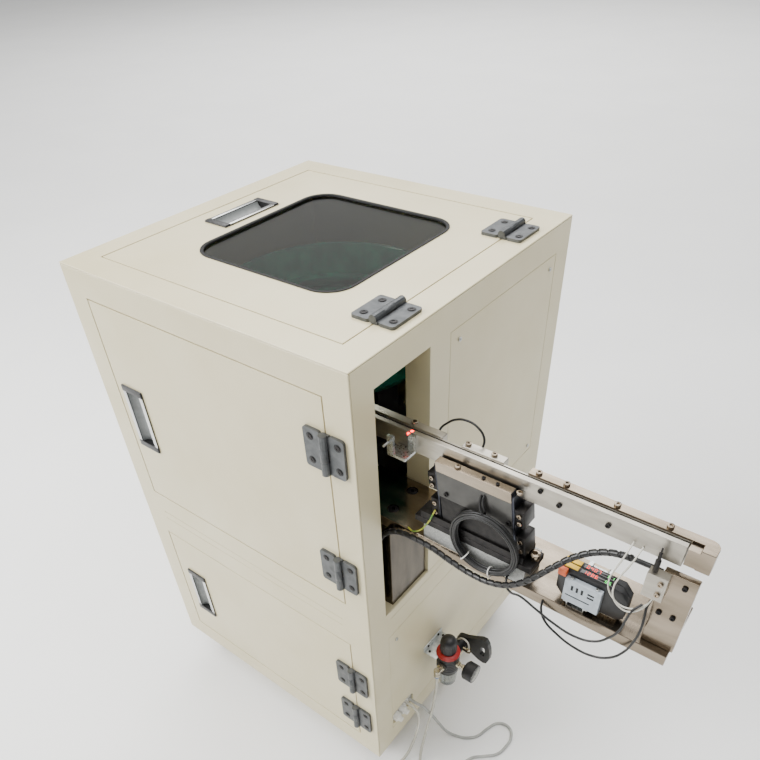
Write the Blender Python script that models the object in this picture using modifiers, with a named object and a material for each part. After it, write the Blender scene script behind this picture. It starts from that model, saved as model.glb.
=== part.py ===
"""Vibratory bowl feeder: sheet-metal cabinet on levelling casters, bowl and drive inside,
linear track on a long plate through the slot, air regulator on the side. Metres, +Z up.

Lengths below are measured from the cabinet's left, front, bottom corner (x right, y back, z up).
seat() moves them so that the origin is the middle of the footprint, on the floor.
"""
import math

import bmesh
import bpy
from mathutils import Matrix, Vector

for old in list(bpy.data.objects):
    bpy.data.objects.remove(old, do_unlink=True)

# Running and seating clearances
FIT = 0.0003
REVEAL = 0.0025
PANEL_GAP = 0.001
SHAKE_GAP = 0.0008

# Cabinet
CAB_W = 0.600
CAB_D = 0.600
CAB_H = 0.943
STAND_H = 0.085
SHEET = 0.0025
EDGE_R = 0.0015
POST_W = 0.047
FRONT_RETURN = 0.044
FOOT_RAIL_H = 0.050
UNDER_RAIL_H = 0.046
SILL_H = 0.046
HEAD_RAIL_H = 0.050
BOTTOM_T = 0.004
DECK_Z = 0.409
DECK_T = 0.021
SEAM_IN = 0.060
SEAM_W = 0.0012
SEAM_DEPTH = 0.0012
SEAM_RISE = 0.018

# Side openings and screwed panels
SLOT_FRONT = 0.047
SLOT_W = 0.129
PANEL_FRONT = 0.227
PANEL_BACK = 0.046
PANEL_HEAD = 0.050
PANEL_SILL = 0.046
LOW_PANEL_FRONT = 0.051
LOW_PANEL_BACK = 0.052
LOW_PANEL_FOOT = 0.049
LOW_PANEL_HEAD = 0.047
LEDGE_LAP = 0.012
LEDGE_BACK = 0.008
LEDGE_T = 0.0025
NOTCH_W = 0.072
NOTCH_Z = 0.060
NOTCH_H = 0.038
NOTCH_R = 0.016

# Lid opening and window
LID_LEFT = 0.043
LID_RIGHT = 0.048
LID_FRONT = 0.049
LID_BACK = 0.048
DOOR_DEPTH = 0.020
WINDOW_X = 0.152
WINDOW_W = 0.306
WINDOW_Y = 0.143
WINDOW_D = 0.323
WINDOW_R = 0.045
PANE_T = 0.005
PANE_LAP = 0.014

# Recessed handles
GRIP_W = 0.054
GRIP_L = 0.132
GRIP_FLANGE = 0.003
GRIP_LIP_T = 0.0015
GRIP_DEEP = 0.017
GRIP_WALL = 0.0025
GRIP_STRIP = 0.009
GRIP_CAP = 0.011
UP_GRIP_X = 0.067
UP_GRIP_LOW = 0.0115
LOW_GRIP_X = 0.078
LOW_GRIP_LOW = 0.0085
LID_GRIP_X = 0.076
LID_GRIP_BACK = 0.0085

# Hinges
LEAF_T = 0.005
LEAF_H = 0.068
LEAF_W = 0.0385
FRAME_LEAF_W = 0.0345
LEAF_R = 0.005
KNUCKLE_R = 0.0065
UP_HINGE_HEAD = 0.0915
UP_HINGE_FOOT = 0.083
LOW_HINGE_HEAD = 0.109
LOW_HINGE_FOOT = 0.076
LID_HINGE_FRONT = 0.0965
LID_HINGE_BACK = 0.073

# Casters with a screw-down foot
CASTER_IN_X = 0.060
CASTER_IN_Y = 0.050
CASTER_PLATE = 0.073
CASTER_PLATE_T = 0.0035
CASTER_TRAIL = 0.045
WHEEL_R = 0.025
WHEEL_W = 0.018
WHEEL_LIFT = 0.002
TURRET_R = 0.026
TURRET_H = 0.026
CHEEK_T = 0.0045
AXLE_R = 0.0038
STEM_R = 0.006
FOOT_R = 0.017
FOOT_T = 0.010
DIAL_R = 0.018
DIAL_T = 0.008
FOOT_TRAVEL = 0.008

# Bowl and its drive
BOWL_R = 0.203
RIM_OVER_TRACK = 0.0724
BOWL_H = 0.102
BOWL_WALL = 0.004
BOWL_FLOOR_T = 0.006
BOWL_FLOOR_R = 0.150
BOWL_DOME = 0.016
LEDGE_W = 0.024
LEDGE_THICK = 0.003
LEDGE_TURNS = 1.75
DRIVE_DISC_R = 0.120
DRIVE_DISC_T = 0.020
CAST_R = 0.132
CAST_H = 0.135
BUFFER_R = 0.020
BUFFER_H = 0.025
CORE_R = 0.052
SPRING_W = 0.040
SPRING_T = 0.006
SPRING_LEAN = 15.0

# Arm: plate through the slot, post, drive, track; IN and OUT are taken from the cabinet's right side
ARM_Y = 0.074
ARM_W = 0.099
ARM_Z = 0.621
ARM_T = 0.019
ARM_IN = 0.100
ARM_OUT = 0.431
POST_IN = 0.055
POST_T = 0.050
BORE_R = 0.0095
BORE_DEEP = 0.0105
BORE_IN = 0.015
BORE_Y = (0.098, 0.150)
RISER_OUT = 0.060
RISER_L = 0.168
RISER_D = 0.051
RISER_H = 0.029
FLANGE_OUT = 0.045
FLANGE_L = 0.192
FLANGE_T = 0.011
DRIVE_Y = 0.073
DRIVE_W = 0.038
BLOCK_OUT = 0.055
BLOCK_L = 0.168
BLOCK_H = 0.012
MAGNET_IN = 0.004
MAGNET_H = 0.041
LEAN = 8.0
SPRING_RIGHT_OUT = 0.212
SPRING_LEFT_OUT = 0.0925
LEAF_SPRING_T = 0.003
LEAF_SPRING_IN = 0.004
TOP_GAP = 0.002
TOP_H = 0.042
TOP_LIP_D = 0.013
TOP_LIP_H = 0.016
RAIL_GAP = 0.002
RAIL_W = 0.008
RAIL_H = 0.032
RAIL_OUT = 0.407
RAIL_START_GAP = 0.006
RAIL_SIT_Y = 0.092
REAR_DROP = 0.010
RIM_W = 0.002
CLAMP_D = 0.0127
CLAMP_T = 0.012
CLAMP_LEFT_OUT = 0.070
CLAMP_MID_OUT = 0.100
CLAMP_MID_L = 0.065
HEAD_START_OUT = 0.200
HEAD_OUT = 0.438
HEAD_R = 0.012
HEAD_NOSE_L = 0.0165
HEAD_NOSE_H = 0.030
STOP_L = 0.0135
STOP_D = 0.0125
CHUTE_WALL = 0.0045

# End support and sensor fork
END_OUT = 0.393
END_W = 0.041
END_Y = 0.084
END_T = 0.010
END_H = 0.129
PAD_OUT = 0.378
PAD_W = 0.025
PAD_T = 0.013
PAD_H = 0.039
FORK_OUT = 0.003
FORK_W = 0.031
FORK_REACH = 0.026
FORK_T = 0.005
FORK_POST_W = 0.010
FORK_POST_H = 0.034
NEEDLE_R = 0.0016

# Sensor amplifiers on their rail
AMP_RAIL_OUT = 0.286
AMP_RAIL_W = 0.035
AMP_RAIL_L = 0.088
AMP_RAIL_H = 0.0075
AMP_RAIL_T = 0.0012
AMP_OUT = 0.270
AMP_L = 0.095
AMP_Y = 0.0865
AMP_W = 0.0105
AMP_H = 0.053
CLAMP_END_L = 0.051
CLAMP_END_W = 0.008
CLAMP_END_H = 0.042

# Air regulator on the lower side panel
REG_OUT = 0.043
REG_Y = 0.190
REG_Z = 0.150
REG_R = 0.024
REG_H = 0.047
CUP_R = 0.022
CUP_H = 0.055
RING_R = 0.025
RING_H = 0.007
KNOB_R = 0.0175
KNOB_H = 0.041
PORT_Z = 0.174
PORT_R = 0.0122
PORT_OUT = 0.034
PORT_BOSS = 0.0012
ELBOW_R = 0.007
ELBOW_DROP = 0.016
GAUGE_R = 0.020
GAUGE_T = 0.024
GAUGE_NECK = 0.018
NECK_R = 0.0055
BRACKET_Y0 = 0.1615
BRACKET_Y1 = 0.227
BRACKET_T = 0.0022
BRACKET_H = 0.014
VALVE_R = 0.013
VALVE_L = 0.030
LEVER_T = 0.010
LEVER_HUB_R = 0.014
LEVER_SLOT_X = 0.044
LEVER_SLOT_W = 0.010
LEVER_SLOT_L = 0.028

# Cable glands and cords
GLAND_PLATE_T = 0.004
GLAND_R = 0.0095
GLAND_OUT = 0.016
GLAND_Y = (0.0625, 0.0835)
GLAND_Z = 0.081
MAINS_R = 0.00325
COIL_OUT = 0.175
MAINS_COIL_Y = 0.060
MAINS_COIL_R = 0.0375
MAINS_COIL_W = 0.019
MAINS_COIL_H = 0.014
AIR_R = 0.003
LOOM_R = 0.0045
HANK_OUT = 0.166
HANK_Z = 0.693
HANK_R = 0.0495
HANK_W = 0.011
HANK_T = 0.012

# Places that follow from the sizes
DECK_TOP = DECK_Z + DECK_T
UP_Z0 = DECK_TOP + SILL_H
UP_Z1 = CAB_H - HEAD_RAIL_H
LOW_Z0 = FOOT_RAIL_H
LOW_Z1 = DECK_Z - UNDER_RAIL_H
UP_HINGES = (UP_Z1 - UP_HINGE_HEAD, UP_Z0 + UP_HINGE_FOOT)
LOW_HINGES = (LOW_Z1 - LOW_HINGE_HEAD, LOW_Z0 + LOW_HINGE_FOOT)
UP_GRIP_Z = (UP_Z0 + UP_Z1 - GRIP_L) / 2 - UP_GRIP_LOW
LOW_GRIP_Z = (LOW_Z0 + LOW_Z1 - GRIP_L) / 2 - LOW_GRIP_LOW
DOOR_X0 = POST_W
DOOR_X1 = CAB_W - POST_W
LID_X1 = CAB_W - LID_RIGHT
ARM_X0 = CAB_W - ARM_IN
ARM_X1 = CAB_W + ARM_OUT
POST_X = CAB_W - POST_IN
BORE_X = CAB_W - BORE_IN
RISER_X = CAB_W + RISER_OUT
FLANGE_X = CAB_W + FLANGE_OUT
BLOCK_X = CAB_W + BLOCK_OUT
SPRING_RIGHT_X = CAB_W + SPRING_RIGHT_OUT
SPRING_LEFT_X = CAB_W + SPRING_LEFT_OUT
RAIL_X1 = CAB_W + RAIL_OUT
CLAMP_LEFT_X1 = CAB_W + CLAMP_LEFT_OUT
CLAMP_MID_X = CAB_W + CLAMP_MID_OUT
HEAD_X0 = CAB_W + HEAD_START_OUT
HEAD_X1 = CAB_W + HEAD_OUT
END_X = CAB_W + END_OUT
PAD_X = CAB_W + PAD_OUT
FORK_X = CAB_W + FORK_OUT
AMP_RAIL_X = CAB_W + AMP_RAIL_OUT
AMP_X = CAB_W + AMP_OUT
HANK_X = CAB_W + HANK_OUT
MAINS_COIL_X = CAB_W + COIL_OUT
LID_Y1 = CAB_D - LID_BACK
LID_HINGES = (LID_FRONT + LID_HINGE_FRONT, LID_Y1 - LID_HINGE_BACK)
LID_GRIP_Y = (LID_FRONT + LID_Y1 - GRIP_L) / 2 + LID_GRIP_BACK
SLOT_RETURN = POST_W - SHEET - 0.0005
TOP_RETURN = HEAD_RAIL_H - SHEET - 0.0035
SLOT_TOP = CAB_H - TOP_RETURN - SHEET - 0.0015
PIN_OUT = KNUCKLE_R + 0.0005
HINGE_X = DOOR_X1 - REVEAL / 2
LID_HINGE_X = LID_X1 - REVEAL / 2
Y_FRONT = -(PIN_OUT + KNUCKLE_R)
MID_X = HEAD_X1 / 2
MID_Y = (CAB_D + Y_FRONT) / 2
ARM_TOP = ARM_Z + ARM_T
RISER_TOP = ARM_TOP + FIT + RISER_H
BLOCK_TOP = RISER_TOP + FIT + FLANGE_T + BLOCK_H
MAGNET_TOP = BLOCK_TOP + MAGNET_H
TOP_Z0 = MAGNET_TOP + TOP_GAP
TRACK_Z = TOP_Z0 + TOP_H
RAIL_Z0 = TRACK_Z + FIT
RAIL_TOP = RAIL_Z0 + RAIL_H
REAR_Y = RAIL_SIT_Y + RAIL_W + RAIL_GAP
REAR_TOP = RAIL_TOP - REAR_DROP
CLAMP_Z1 = REAR_TOP + FIT + CLAMP_T
CLAMP_Y0 = REAR_Y + RIM_W + FIT
CLAMP_Y1 = CLAMP_Y0 + CLAMP_D
BOWL_X = CAB_W / 2
BOWL_Y = REAR_Y + BOWL_R
BOWL_RIM_Z = TRACK_Z + RIM_OVER_TRACK
BOWL_Z0 = BOWL_RIM_Z - BOWL_H
CHUTE_X = BOWL_X
RAIL_X0 = BOWL_X + math.sqrt(BOWL_R ** 2 - (BOWL_Y - CLAMP_Y1) ** 2) + RAIL_START_GAP

GROUP = bpy.data.collections.new("vibratory_bowl_feeder")
TOOLS = bpy.data.collections.new("cutters")
bpy.context.scene.collection.children.link(GROUP)
bpy.context.scene.collection.children.link(TOOLS)


def material(name, colour, rough, metal):
    """One Principled material."""
    made = bpy.data.materials.new(name)
    made.use_nodes = True
    shader = made.node_tree.nodes["Principled BSDF"]
    shader.inputs["Base Color"].default_value = (colour[0], colour[1], colour[2], 1.0)
    shader.inputs["Roughness"].default_value = rough
    shader.inputs["Metallic"].default_value = metal
    made.diffuse_color = (colour[0], colour[1], colour[2], 1.0)
    return made


ENAMEL = material("beige_enamel", (0.62, 0.58, 0.49), 0.38, 0.0)
NICKEL = material("nickel_plated_steel", (0.47, 0.42, 0.36), 0.22, 1.0)
SATIN = material("satin_steel", (0.50, 0.48, 0.44), 0.32, 1.0)
BLASTED = material("blasted_aluminium", (0.52, 0.52, 0.51), 0.62, 1.0)
ZINC = material("zinc_casting", (0.33, 0.33, 0.33), 0.45, 1.0)
GREY = material("grey_enamel", (0.16, 0.16, 0.17), 0.45, 0.0)
TEAL = material("teal_bowl_enamel", (0.02, 0.22, 0.16), 0.30, 0.0)
BLACK = material("black_plastic", (0.012, 0.012, 0.013), 0.45, 0.0)
WHITE = material("white_plastic", (0.72, 0.71, 0.67), 0.50, 0.0)
PALE = material("pale_plastic", (0.44, 0.46, 0.48), 0.50, 0.0)
RUBBER = material("rubber", (0.02, 0.02, 0.02), 0.80, 0.0)
TINTED = material("tinted_pane", (0.05, 0.05, 0.045), 0.05, 0.0)
CABLE_GREY = material("grey_cable", (0.35, 0.35, 0.34), 0.55, 0.0)


def seat(x, y, z):
    """Cabinet-corner lengths to the model's own frame."""
    return Vector((x - MID_X, y - MID_Y, z + STAND_H))


def finish_mesh(mesh, paint):
    """Weld, face the surface outwards, shade round forms smooth."""
    made = bmesh.new()
    made.from_mesh(mesh)
    bmesh.ops.remove_doubles(made, verts=made.verts, dist=0.00001)
    bmesh.ops.recalc_face_normals(made, faces=made.faces)
    made.to_mesh(mesh)
    made.free()
    mesh.materials.clear()
    if paint is not None:
        mesh.materials.append(paint)
    mesh.shade_smooth()
    mesh.set_sharp_from_angle(angle=math.radians(32.0))


def place(name, mesh, paint):
    """A part with a material, or, without one, a cutter or joining form."""
    finish_mesh(mesh, paint)
    body = bpy.data.objects.new(name, mesh)
    if paint is None:
        TOOLS.objects.link(body)
        body.hide_render = True
        body.display_type = 'WIRE'
    else:
        GROUP.objects.link(body)
    return body


def box(name, low, high, paint=None, round_off=0.0, steps=1):
    """A block between two corners; round_off bevels every edge."""
    made = bmesh.new()
    bmesh.ops.create_cube(made, size=1.0)
    size = Vector(high) - Vector(low)
    middle = (Vector(high) + Vector(low)) / 2
    bmesh.ops.scale(made, vec=size, verts=made.verts)
    if round_off > 0.0:
        bmesh.ops.bevel(made, geom=list(made.edges), offset=round_off, segments=steps,
                        affect='EDGES', profile=0.5)
    bmesh.ops.translate(made, vec=seat(*middle), verts=made.verts)
    mesh = bpy.data.meshes.new(name)
    made.to_mesh(mesh)
    made.free()
    return place(name, mesh, paint)


def rod(name, start, end, radius, paint=None, sides=24, end_radius=None):
    """A cylinder or cone between two points."""
    one = seat(*start)
    two = seat(*end)
    along = two - one
    turn = along.to_track_quat('Z', 'Y').to_matrix().to_4x4()
    made = bmesh.new()
    bmesh.ops.create_cone(made, cap_ends=True, segments=sides, radius1=radius,
                          radius2=radius if end_radius is None else end_radius,
                          depth=along.length)
    bmesh.ops.transform(made, matrix=Matrix.Translation((one + two) / 2) @ turn, verts=made.verts)
    mesh = bpy.data.meshes.new(name)
    made.to_mesh(mesh)
    made.free()
    return place(name, mesh, paint)


def evaluated_mesh(body):
    """The mesh that an object's modifiers or curve settings give."""
    bpy.context.view_layer.update()
    graph = bpy.context.evaluated_depsgraph_get()
    return bpy.data.meshes.new_from_object(body.evaluated_get(graph))


FACING = {
    'Z': Matrix(((1, 0, 0, 0), (0, 1, 0, 0), (0, 0, 1, 0), (0, 0, 0, 1))),
    'Y': Matrix(((1, 0, 0, 0), (0, 0, -1, 0), (0, 1, 0, 0), (0, 0, 0, 1))),
    'X': Matrix(((0, 0, 1, 0), (1, 0, 0, 0), (0, 1, 0, 0), (0, 0, 0, 1))),
}


def slab(name, outline, axis, low, high, paint=None):
    """A flat outline with thickness. Outline pairs are (x, y) for Z, (x, z) for Y, (y, z) for X."""
    shape = bpy.data.curves.new(name + "_outline", 'CURVE')
    shape.dimensions = '2D'
    shape.fill_mode = 'BOTH'
    shape.extrude = (high - low) / 2
    line = shape.splines.new('POLY')
    line.points.add(len(outline) - 1)
    for point, (u, v) in zip(line.points, outline):
        point.co = (u, v, 0.0, 1.0)
    line.use_cyclic_u = True
    middle = (low + high) / 2
    offset = {'Z': (0, 0, middle), 'Y': (0, middle, 0), 'X': (middle, 0, 0)}[axis]
    holder = bpy.data.objects.new(name + "_outline", shape)
    bpy.context.scene.collection.objects.link(holder)
    mesh = evaluated_mesh(holder)
    mesh.transform(Matrix.Translation(seat(*offset)) @ FACING[axis])
    bpy.data.objects.remove(holder, do_unlink=True)
    return place(name, mesh, paint)


def turned(name, profile, centre, axis, steps, paint=None, ring=False, first=0.0):
    """A profile of (radius, height) pairs, top to bottom on its outer side, turned about an axis.

    first is the angle, in degrees, at which the turning starts."""
    mesh = bpy.data.meshes.new(name + "_profile")
    links = [(i, i + 1) for i in range(len(profile) - 1)]
    if ring:
        links.append((len(profile) - 1, 0))
    mesh.from_pydata([(r, 0.0, h) for r, h in profile], links, [])
    holder = bpy.data.objects.new(name + "_profile", mesh)
    bpy.context.scene.collection.objects.link(holder)
    screw = holder.modifiers.new("turn", 'SCREW')
    screw.axis = 'Z'
    screw.steps = steps
    screw.render_steps = steps
    screw.use_merge_vertices = True
    screw.merge_threshold = 0.00001
    made = evaluated_mesh(holder)
    made.transform(Matrix.Rotation(math.radians(first), 4, 'Z'))
    made.transform(Matrix.Translation(seat(*centre)) @ FACING[axis])
    bpy.data.objects.remove(holder, do_unlink=True)
    return place(name, made, paint)


def rounded(x0, y0, x1, y1, radius, steps=5):
    """A rectangle's outline with round corners."""
    points = []
    for cx, cy, start in ((x1 - radius, y1 - radius, 0), (x0 + radius, y1 - radius, 90),
                          (x0 + radius, y0 + radius, 180), (x1 - radius, y0 + radius, 270)):
        for i in range(steps + 1):
            angle = math.radians(start + 90.0 * i / steps)
            points.append((cx + radius * math.cos(angle), cy + radius * math.sin(angle)))
    return points


def boolean(body, tool, operation):
    """A cut or a union, left on the object."""
    step = body.modifiers.new(tool.name[:50], 'BOOLEAN')
    step.operation = operation
    step.solver = 'EXACT'
    step.object = tool
    return body


def cut(body, *tools):
    for tool in tools:
        boolean(body, tool, 'DIFFERENCE')
    return body


def fuse(body, *tools):
    for tool in tools:
        boolean(body, tool, 'UNION')
    return body


def pivot(name, x, y, z, turn=None):
    """An empty on a joint's axis."""
    hub = bpy.data.objects.new(name, None)
    hub.empty_display_size = 0.03
    hub.location = seat(x, y, z)
    GROUP.objects.link(hub)
    return hub


def hang(hub, *bodies):
    """Parent bodies to an empty and give them its origin."""
    for body in bodies:
        shift = hub.location.copy()
        if body.type == 'MESH':
            body.data.transform(Matrix.Translation(-shift))
        body.location = (0.0, 0.0, 0.0)
        body.parent = hub


def smooth_route(points, step, lowest):
    """Points at an even distance along a smooth curve through the given points, none too low."""
    knots = [Vector(p) for p in points]
    ends = [2 * knots[0] - knots[1]] + knots + [2 * knots[-1] - knots[-2]]
    fine = []
    for i in range(1, len(ends) - 2):
        a, b, c, d = ends[i - 1], ends[i], ends[i + 1], ends[i + 2]
        for k in range(24):
            t = k / 24.0
            fine.append(0.5 * (2 * b + (c - a) * t + (2 * a - 5 * b + 4 * c - d) * t ** 2
                               + (3 * b - a - 3 * c + d) * t ** 3))
    fine.append(knots[-1])
    total = sum((q - p).length for p, q in zip(fine, fine[1:]))
    count = max(3, round(total / step))
    spaced = [fine[0]]
    walked = 0.0
    for p, q in zip(fine, fine[1:]):
        run = (q - p).length
        while run > 0 and len(spaced) < count and walked + run >= len(spaced) * total / count:
            share = (len(spaced) * total / count - walked) / run
            spaced.append(p.lerp(q, share))
        walked += run
    spaced.append(fine[-1])
    for point in spaced:
        point.z = max(point.z, lowest)
    return spaced


def cord(name, points, radius, paint, sides_level=2, reach=6.0):
    """A plain tube along a smooth route."""
    shape = bpy.data.curves.new(name, 'CURVE')
    shape.dimensions = '3D'
    shape.bevel_depth = radius
    shape.bevel_resolution = sides_level
    shape.use_fill_caps = True
    route = smooth_route(points, radius * reach, radius + FIT - STAND_H)
    line = shape.splines.new('POLY')
    line.points.add(len(route) - 1)
    for point, where in zip(line.points, route):
        point.co = (*seat(*where), 1.0)
    shape.materials.append(paint)
    body = bpy.data.objects.new(name, shape)
    GROUP.objects.link(body)
    return body


# Cabinet sheets. Each opening has a folded return; the sheets meet at the corners.
SIDE_TOP = CAB_H - SHEET - FIT
INNER0 = SHEET + FIT


def seam_cuts(name, face, low, high):
    """The two shallow seams along the deck plate's edges, on one outer face."""
    tools = []
    for tag, z in (("low", DECK_Z), ("high", DECK_Z + SEAM_RISE)):
        if face == 'front':
            tools.append(box(f"seam_{name}_{tag}", (low, -0.002, z),
                             (high, SEAM_DEPTH, z + SEAM_W)))
        elif face == 'right':
            tools.append(box(f"seam_{name}_{tag}", (CAB_W - SEAM_DEPTH, low, z),
                             (CAB_W + 0.002, high, z + SEAM_W)))
        elif face == 'left':
            tools.append(box(f"seam_{name}_{tag}", (-0.002, low, z),
                             (SEAM_DEPTH, high, z + SEAM_W)))
        else:
            tools.append(box(f"seam_{name}_{tag}", (low, CAB_D - SEAM_DEPTH, z),
                             (high, CAB_D + 0.002, z + SEAM_W)))
    return tools


front = box("front_frame", (0, 0, 0), (CAB_W, SHEET, SIDE_TOP), ENAMEL, EDGE_R / 2, 1)
for tag, z0, z1 in (("upper", UP_Z0, UP_Z1), ("lower", LOW_Z0, LOW_Z1)):
    fuse(front, box(f"return_{tag}", (DOOR_X0 - SHEET, SHEET / 2, z0 - SHEET),
                    (DOOR_X1 + SHEET, SHEET + FRONT_RETURN, z1 + SHEET)))
    cut(front, box(f"opening_{tag}", (DOOR_X0, -0.01, z0),
                   (DOOR_X1, SHEET + FRONT_RETURN + 0.01, z1)))
cut(front, *seam_cuts("front", 'front', SEAM_IN, CAB_W - SEAM_IN))

right = box("right_side", (CAB_W - SHEET, INNER0, 0), (CAB_W, CAB_D - INNER0, SIDE_TOP), ENAMEL)
SLOT_BACK = SLOT_FRONT + SLOT_W
PANEL_Y1 = CAB_D - PANEL_BACK
PANEL_Z0 = DECK_TOP + PANEL_SILL
PANEL_Z1 = CAB_H - PANEL_HEAD
LOW_Y1 = CAB_D - LOW_PANEL_BACK
LOW_PZ1 = DECK_Z - LOW_PANEL_HEAD
fuse(right,
     box("slot_return", (CAB_W - SLOT_RETURN, SLOT_FRONT - SHEET, DECK_TOP + FIT),
         (CAB_W - SHEET / 2, SLOT_BACK + SHEET, SLOT_TOP + SHEET)))
for tag, y0, y1, z0, z1 in (("upper", PANEL_FRONT, PANEL_Y1, PANEL_Z0, PANEL_Z1),
                            ("lower", LOW_PANEL_FRONT, LOW_Y1, LOW_PANEL_FOOT, LOW_PZ1)):
    fuse(right, box(f"ledge_{tag}", (CAB_W - SHEET - LEDGE_T, y0 - LEDGE_BACK, z0 - LEDGE_BACK),
                    (CAB_W - SHEET / 2, y1 + LEDGE_BACK, z1 + LEDGE_BACK)))
    cut(right,
        box(f"pocket_{tag}", (CAB_W - SHEET, y0, z0), (CAB_W + 0.01, y1, z1)),
        box(f"through_{tag}", (CAB_W - 0.02, y0 + LEDGE_LAP, z0 + LEDGE_LAP),
            (CAB_W + 0.01, y1 - LEDGE_LAP, z1 - LEDGE_LAP)))
cut(right,
    box("slot_opening", (CAB_W - SLOT_RETURN - 0.01, SLOT_FRONT, DECK_TOP),
        (CAB_W + 0.01, SLOT_BACK, SLOT_TOP)),
    slab("notch_in_ledge", rounded(LOW_PANEL_FRONT + 0.0008, NOTCH_Z, LOW_PANEL_FRONT + NOTCH_W,
                                   NOTCH_Z + NOTCH_H, NOTCH_R, 4), 'X', CAB_W - 0.02, CAB_W + 0.01))
cut(right, *seam_cuts("right", 'right', SEAM_IN, CAB_D - SEAM_IN))

left = box("left_side", (0, INNER0, 0), (SHEET, CAB_D - INNER0, SIDE_TOP), ENAMEL)
cut(left, *seam_cuts("left", 'left', SEAM_IN, CAB_D - SEAM_IN))
back = box("back_wall", (0, CAB_D - SHEET, 0), (CAB_W, CAB_D, SIDE_TOP), ENAMEL, EDGE_R / 2, 1)
cut(back, *seam_cuts("back", 'back', SEAM_IN, CAB_W - SEAM_IN))

top = box("top_frame", (0, 0, CAB_H - SHEET), (CAB_W, CAB_D, CAB_H), ENAMEL, EDGE_R / 2, 1)
fuse(top, box("lid_return", (LID_LEFT - SHEET, LID_FRONT - SHEET, CAB_H - TOP_RETURN),
              (LID_X1 + SHEET, LID_Y1 + SHEET, CAB_H - SHEET / 2)))
cut(top, box("lid_opening", (LID_LEFT, LID_FRONT, CAB_H - TOP_RETURN - 0.01),
             (LID_X1, LID_Y1, CAB_H + 0.01)))

deck = box("deck_plate", (INNER0, INNER0, DECK_Z), (CAB_W - INNER0, CAB_D - INNER0, DECK_TOP),
           SATIN)

bottom = box("bottom_plate", (INNER0, INNER0, 0), (CAB_W - INNER0, CAB_D - INNER0, BOTTOM_T),
             ENAMEL)
CASTERS = (
    ("front_left", CASTER_IN_X, CASTER_IN_Y, 1.0),
    ("front_right", CAB_W - CASTER_IN_X, CASTER_IN_Y, 1.0),
    ("rear_left", CASTER_IN_X, CAB_D - CASTER_IN_Y, -1.0),
    ("rear_right", CAB_W - CASTER_IN_X, CAB_D - CASTER_IN_Y, -1.0),
)
for tag, cx, cy, way in CASTERS:
    half = CASTER_PLATE / 2
    fuse(bottom, box(f"caster_plate_{tag}", (cx - half, cy - half, -CASTER_PLATE_T),
                     (cx + half, cy + half, BOTTOM_T / 2)))

# Screwed panels, flush in their pockets on the ledges
PANEL_X0 = CAB_W - SHEET + FIT
box("right_upper_panel", (PANEL_X0, PANEL_FRONT + PANEL_GAP, PANEL_Z0 + PANEL_GAP),
    (CAB_W, PANEL_Y1 - PANEL_GAP, PANEL_Z1 - PANEL_GAP), ENAMEL, 0.0006, 1)
lower_panel = box("right_lower_panel",
                  (PANEL_X0, LOW_PANEL_FRONT + PANEL_GAP, LOW_PANEL_FOOT + PANEL_GAP),
                  (CAB_W, LOW_Y1 - PANEL_GAP, LOW_PZ1 - PANEL_GAP), ENAMEL, 0.0006, 1)
cut(lower_panel, slab("panel_notch", rounded(LOW_PANEL_FRONT - 0.004, NOTCH_Z, LOW_PANEL_FRONT + NOTCH_W,
                                             NOTCH_Z + NOTCH_H, NOTCH_R, 4), 'X',
                      CAB_W - 0.02, CAB_W + 0.01))


# Hinges: three knuckles, the middle one on the door, the outer two on the frame leaf.
def door_leaf(body, tag, axis_x, along, face, upright):
    """Fuse a door's hinge leaf and middle knuckle onto it."""
    third = LEAF_H / 3
    a0 = along - LEAF_H / 2
    inner = axis_x - KNUCKLE_R - 0.0008
    spread = LEAF_T
    if upright:
        leaf = slab(f"leaf_{tag}", rounded(axis_x - LEAF_W, a0, inner, a0 + LEAF_H, LEAF_R, 3),
                    'Y', face - spread, face + SHEET / 2)
        tongue = box(f"tongue_{tag}", (inner - 0.001, face - spread, a0 + third + FIT),
                     (axis_x, face - 0.001, a0 + 2 * third - FIT))
        barrel = rod(f"knuckle_{tag}", (axis_x, face - PIN_OUT, a0 + third + FIT),
                     (axis_x, face - PIN_OUT, a0 + 2 * third - FIT), KNUCKLE_R, sides=12)
    else:
        leaf = slab(f"leaf_{tag}", rounded(axis_x - LEAF_W, a0, inner, a0 + LEAF_H, LEAF_R, 3),
                    'Z', face - SHEET / 2, face + spread)
        tongue = box(f"tongue_{tag}", (inner - 0.001, a0 + third + FIT, face + 0.001),
                     (axis_x, a0 + 2 * third - FIT, face + spread))
        barrel = rod(f"knuckle_{tag}", (axis_x, a0 + third + FIT, face + PIN_OUT),
                     (axis_x, a0 + 2 * third - FIT, face + PIN_OUT), KNUCKLE_R, sides=12)
    fuse(body, leaf, tongue, barrel)


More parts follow.
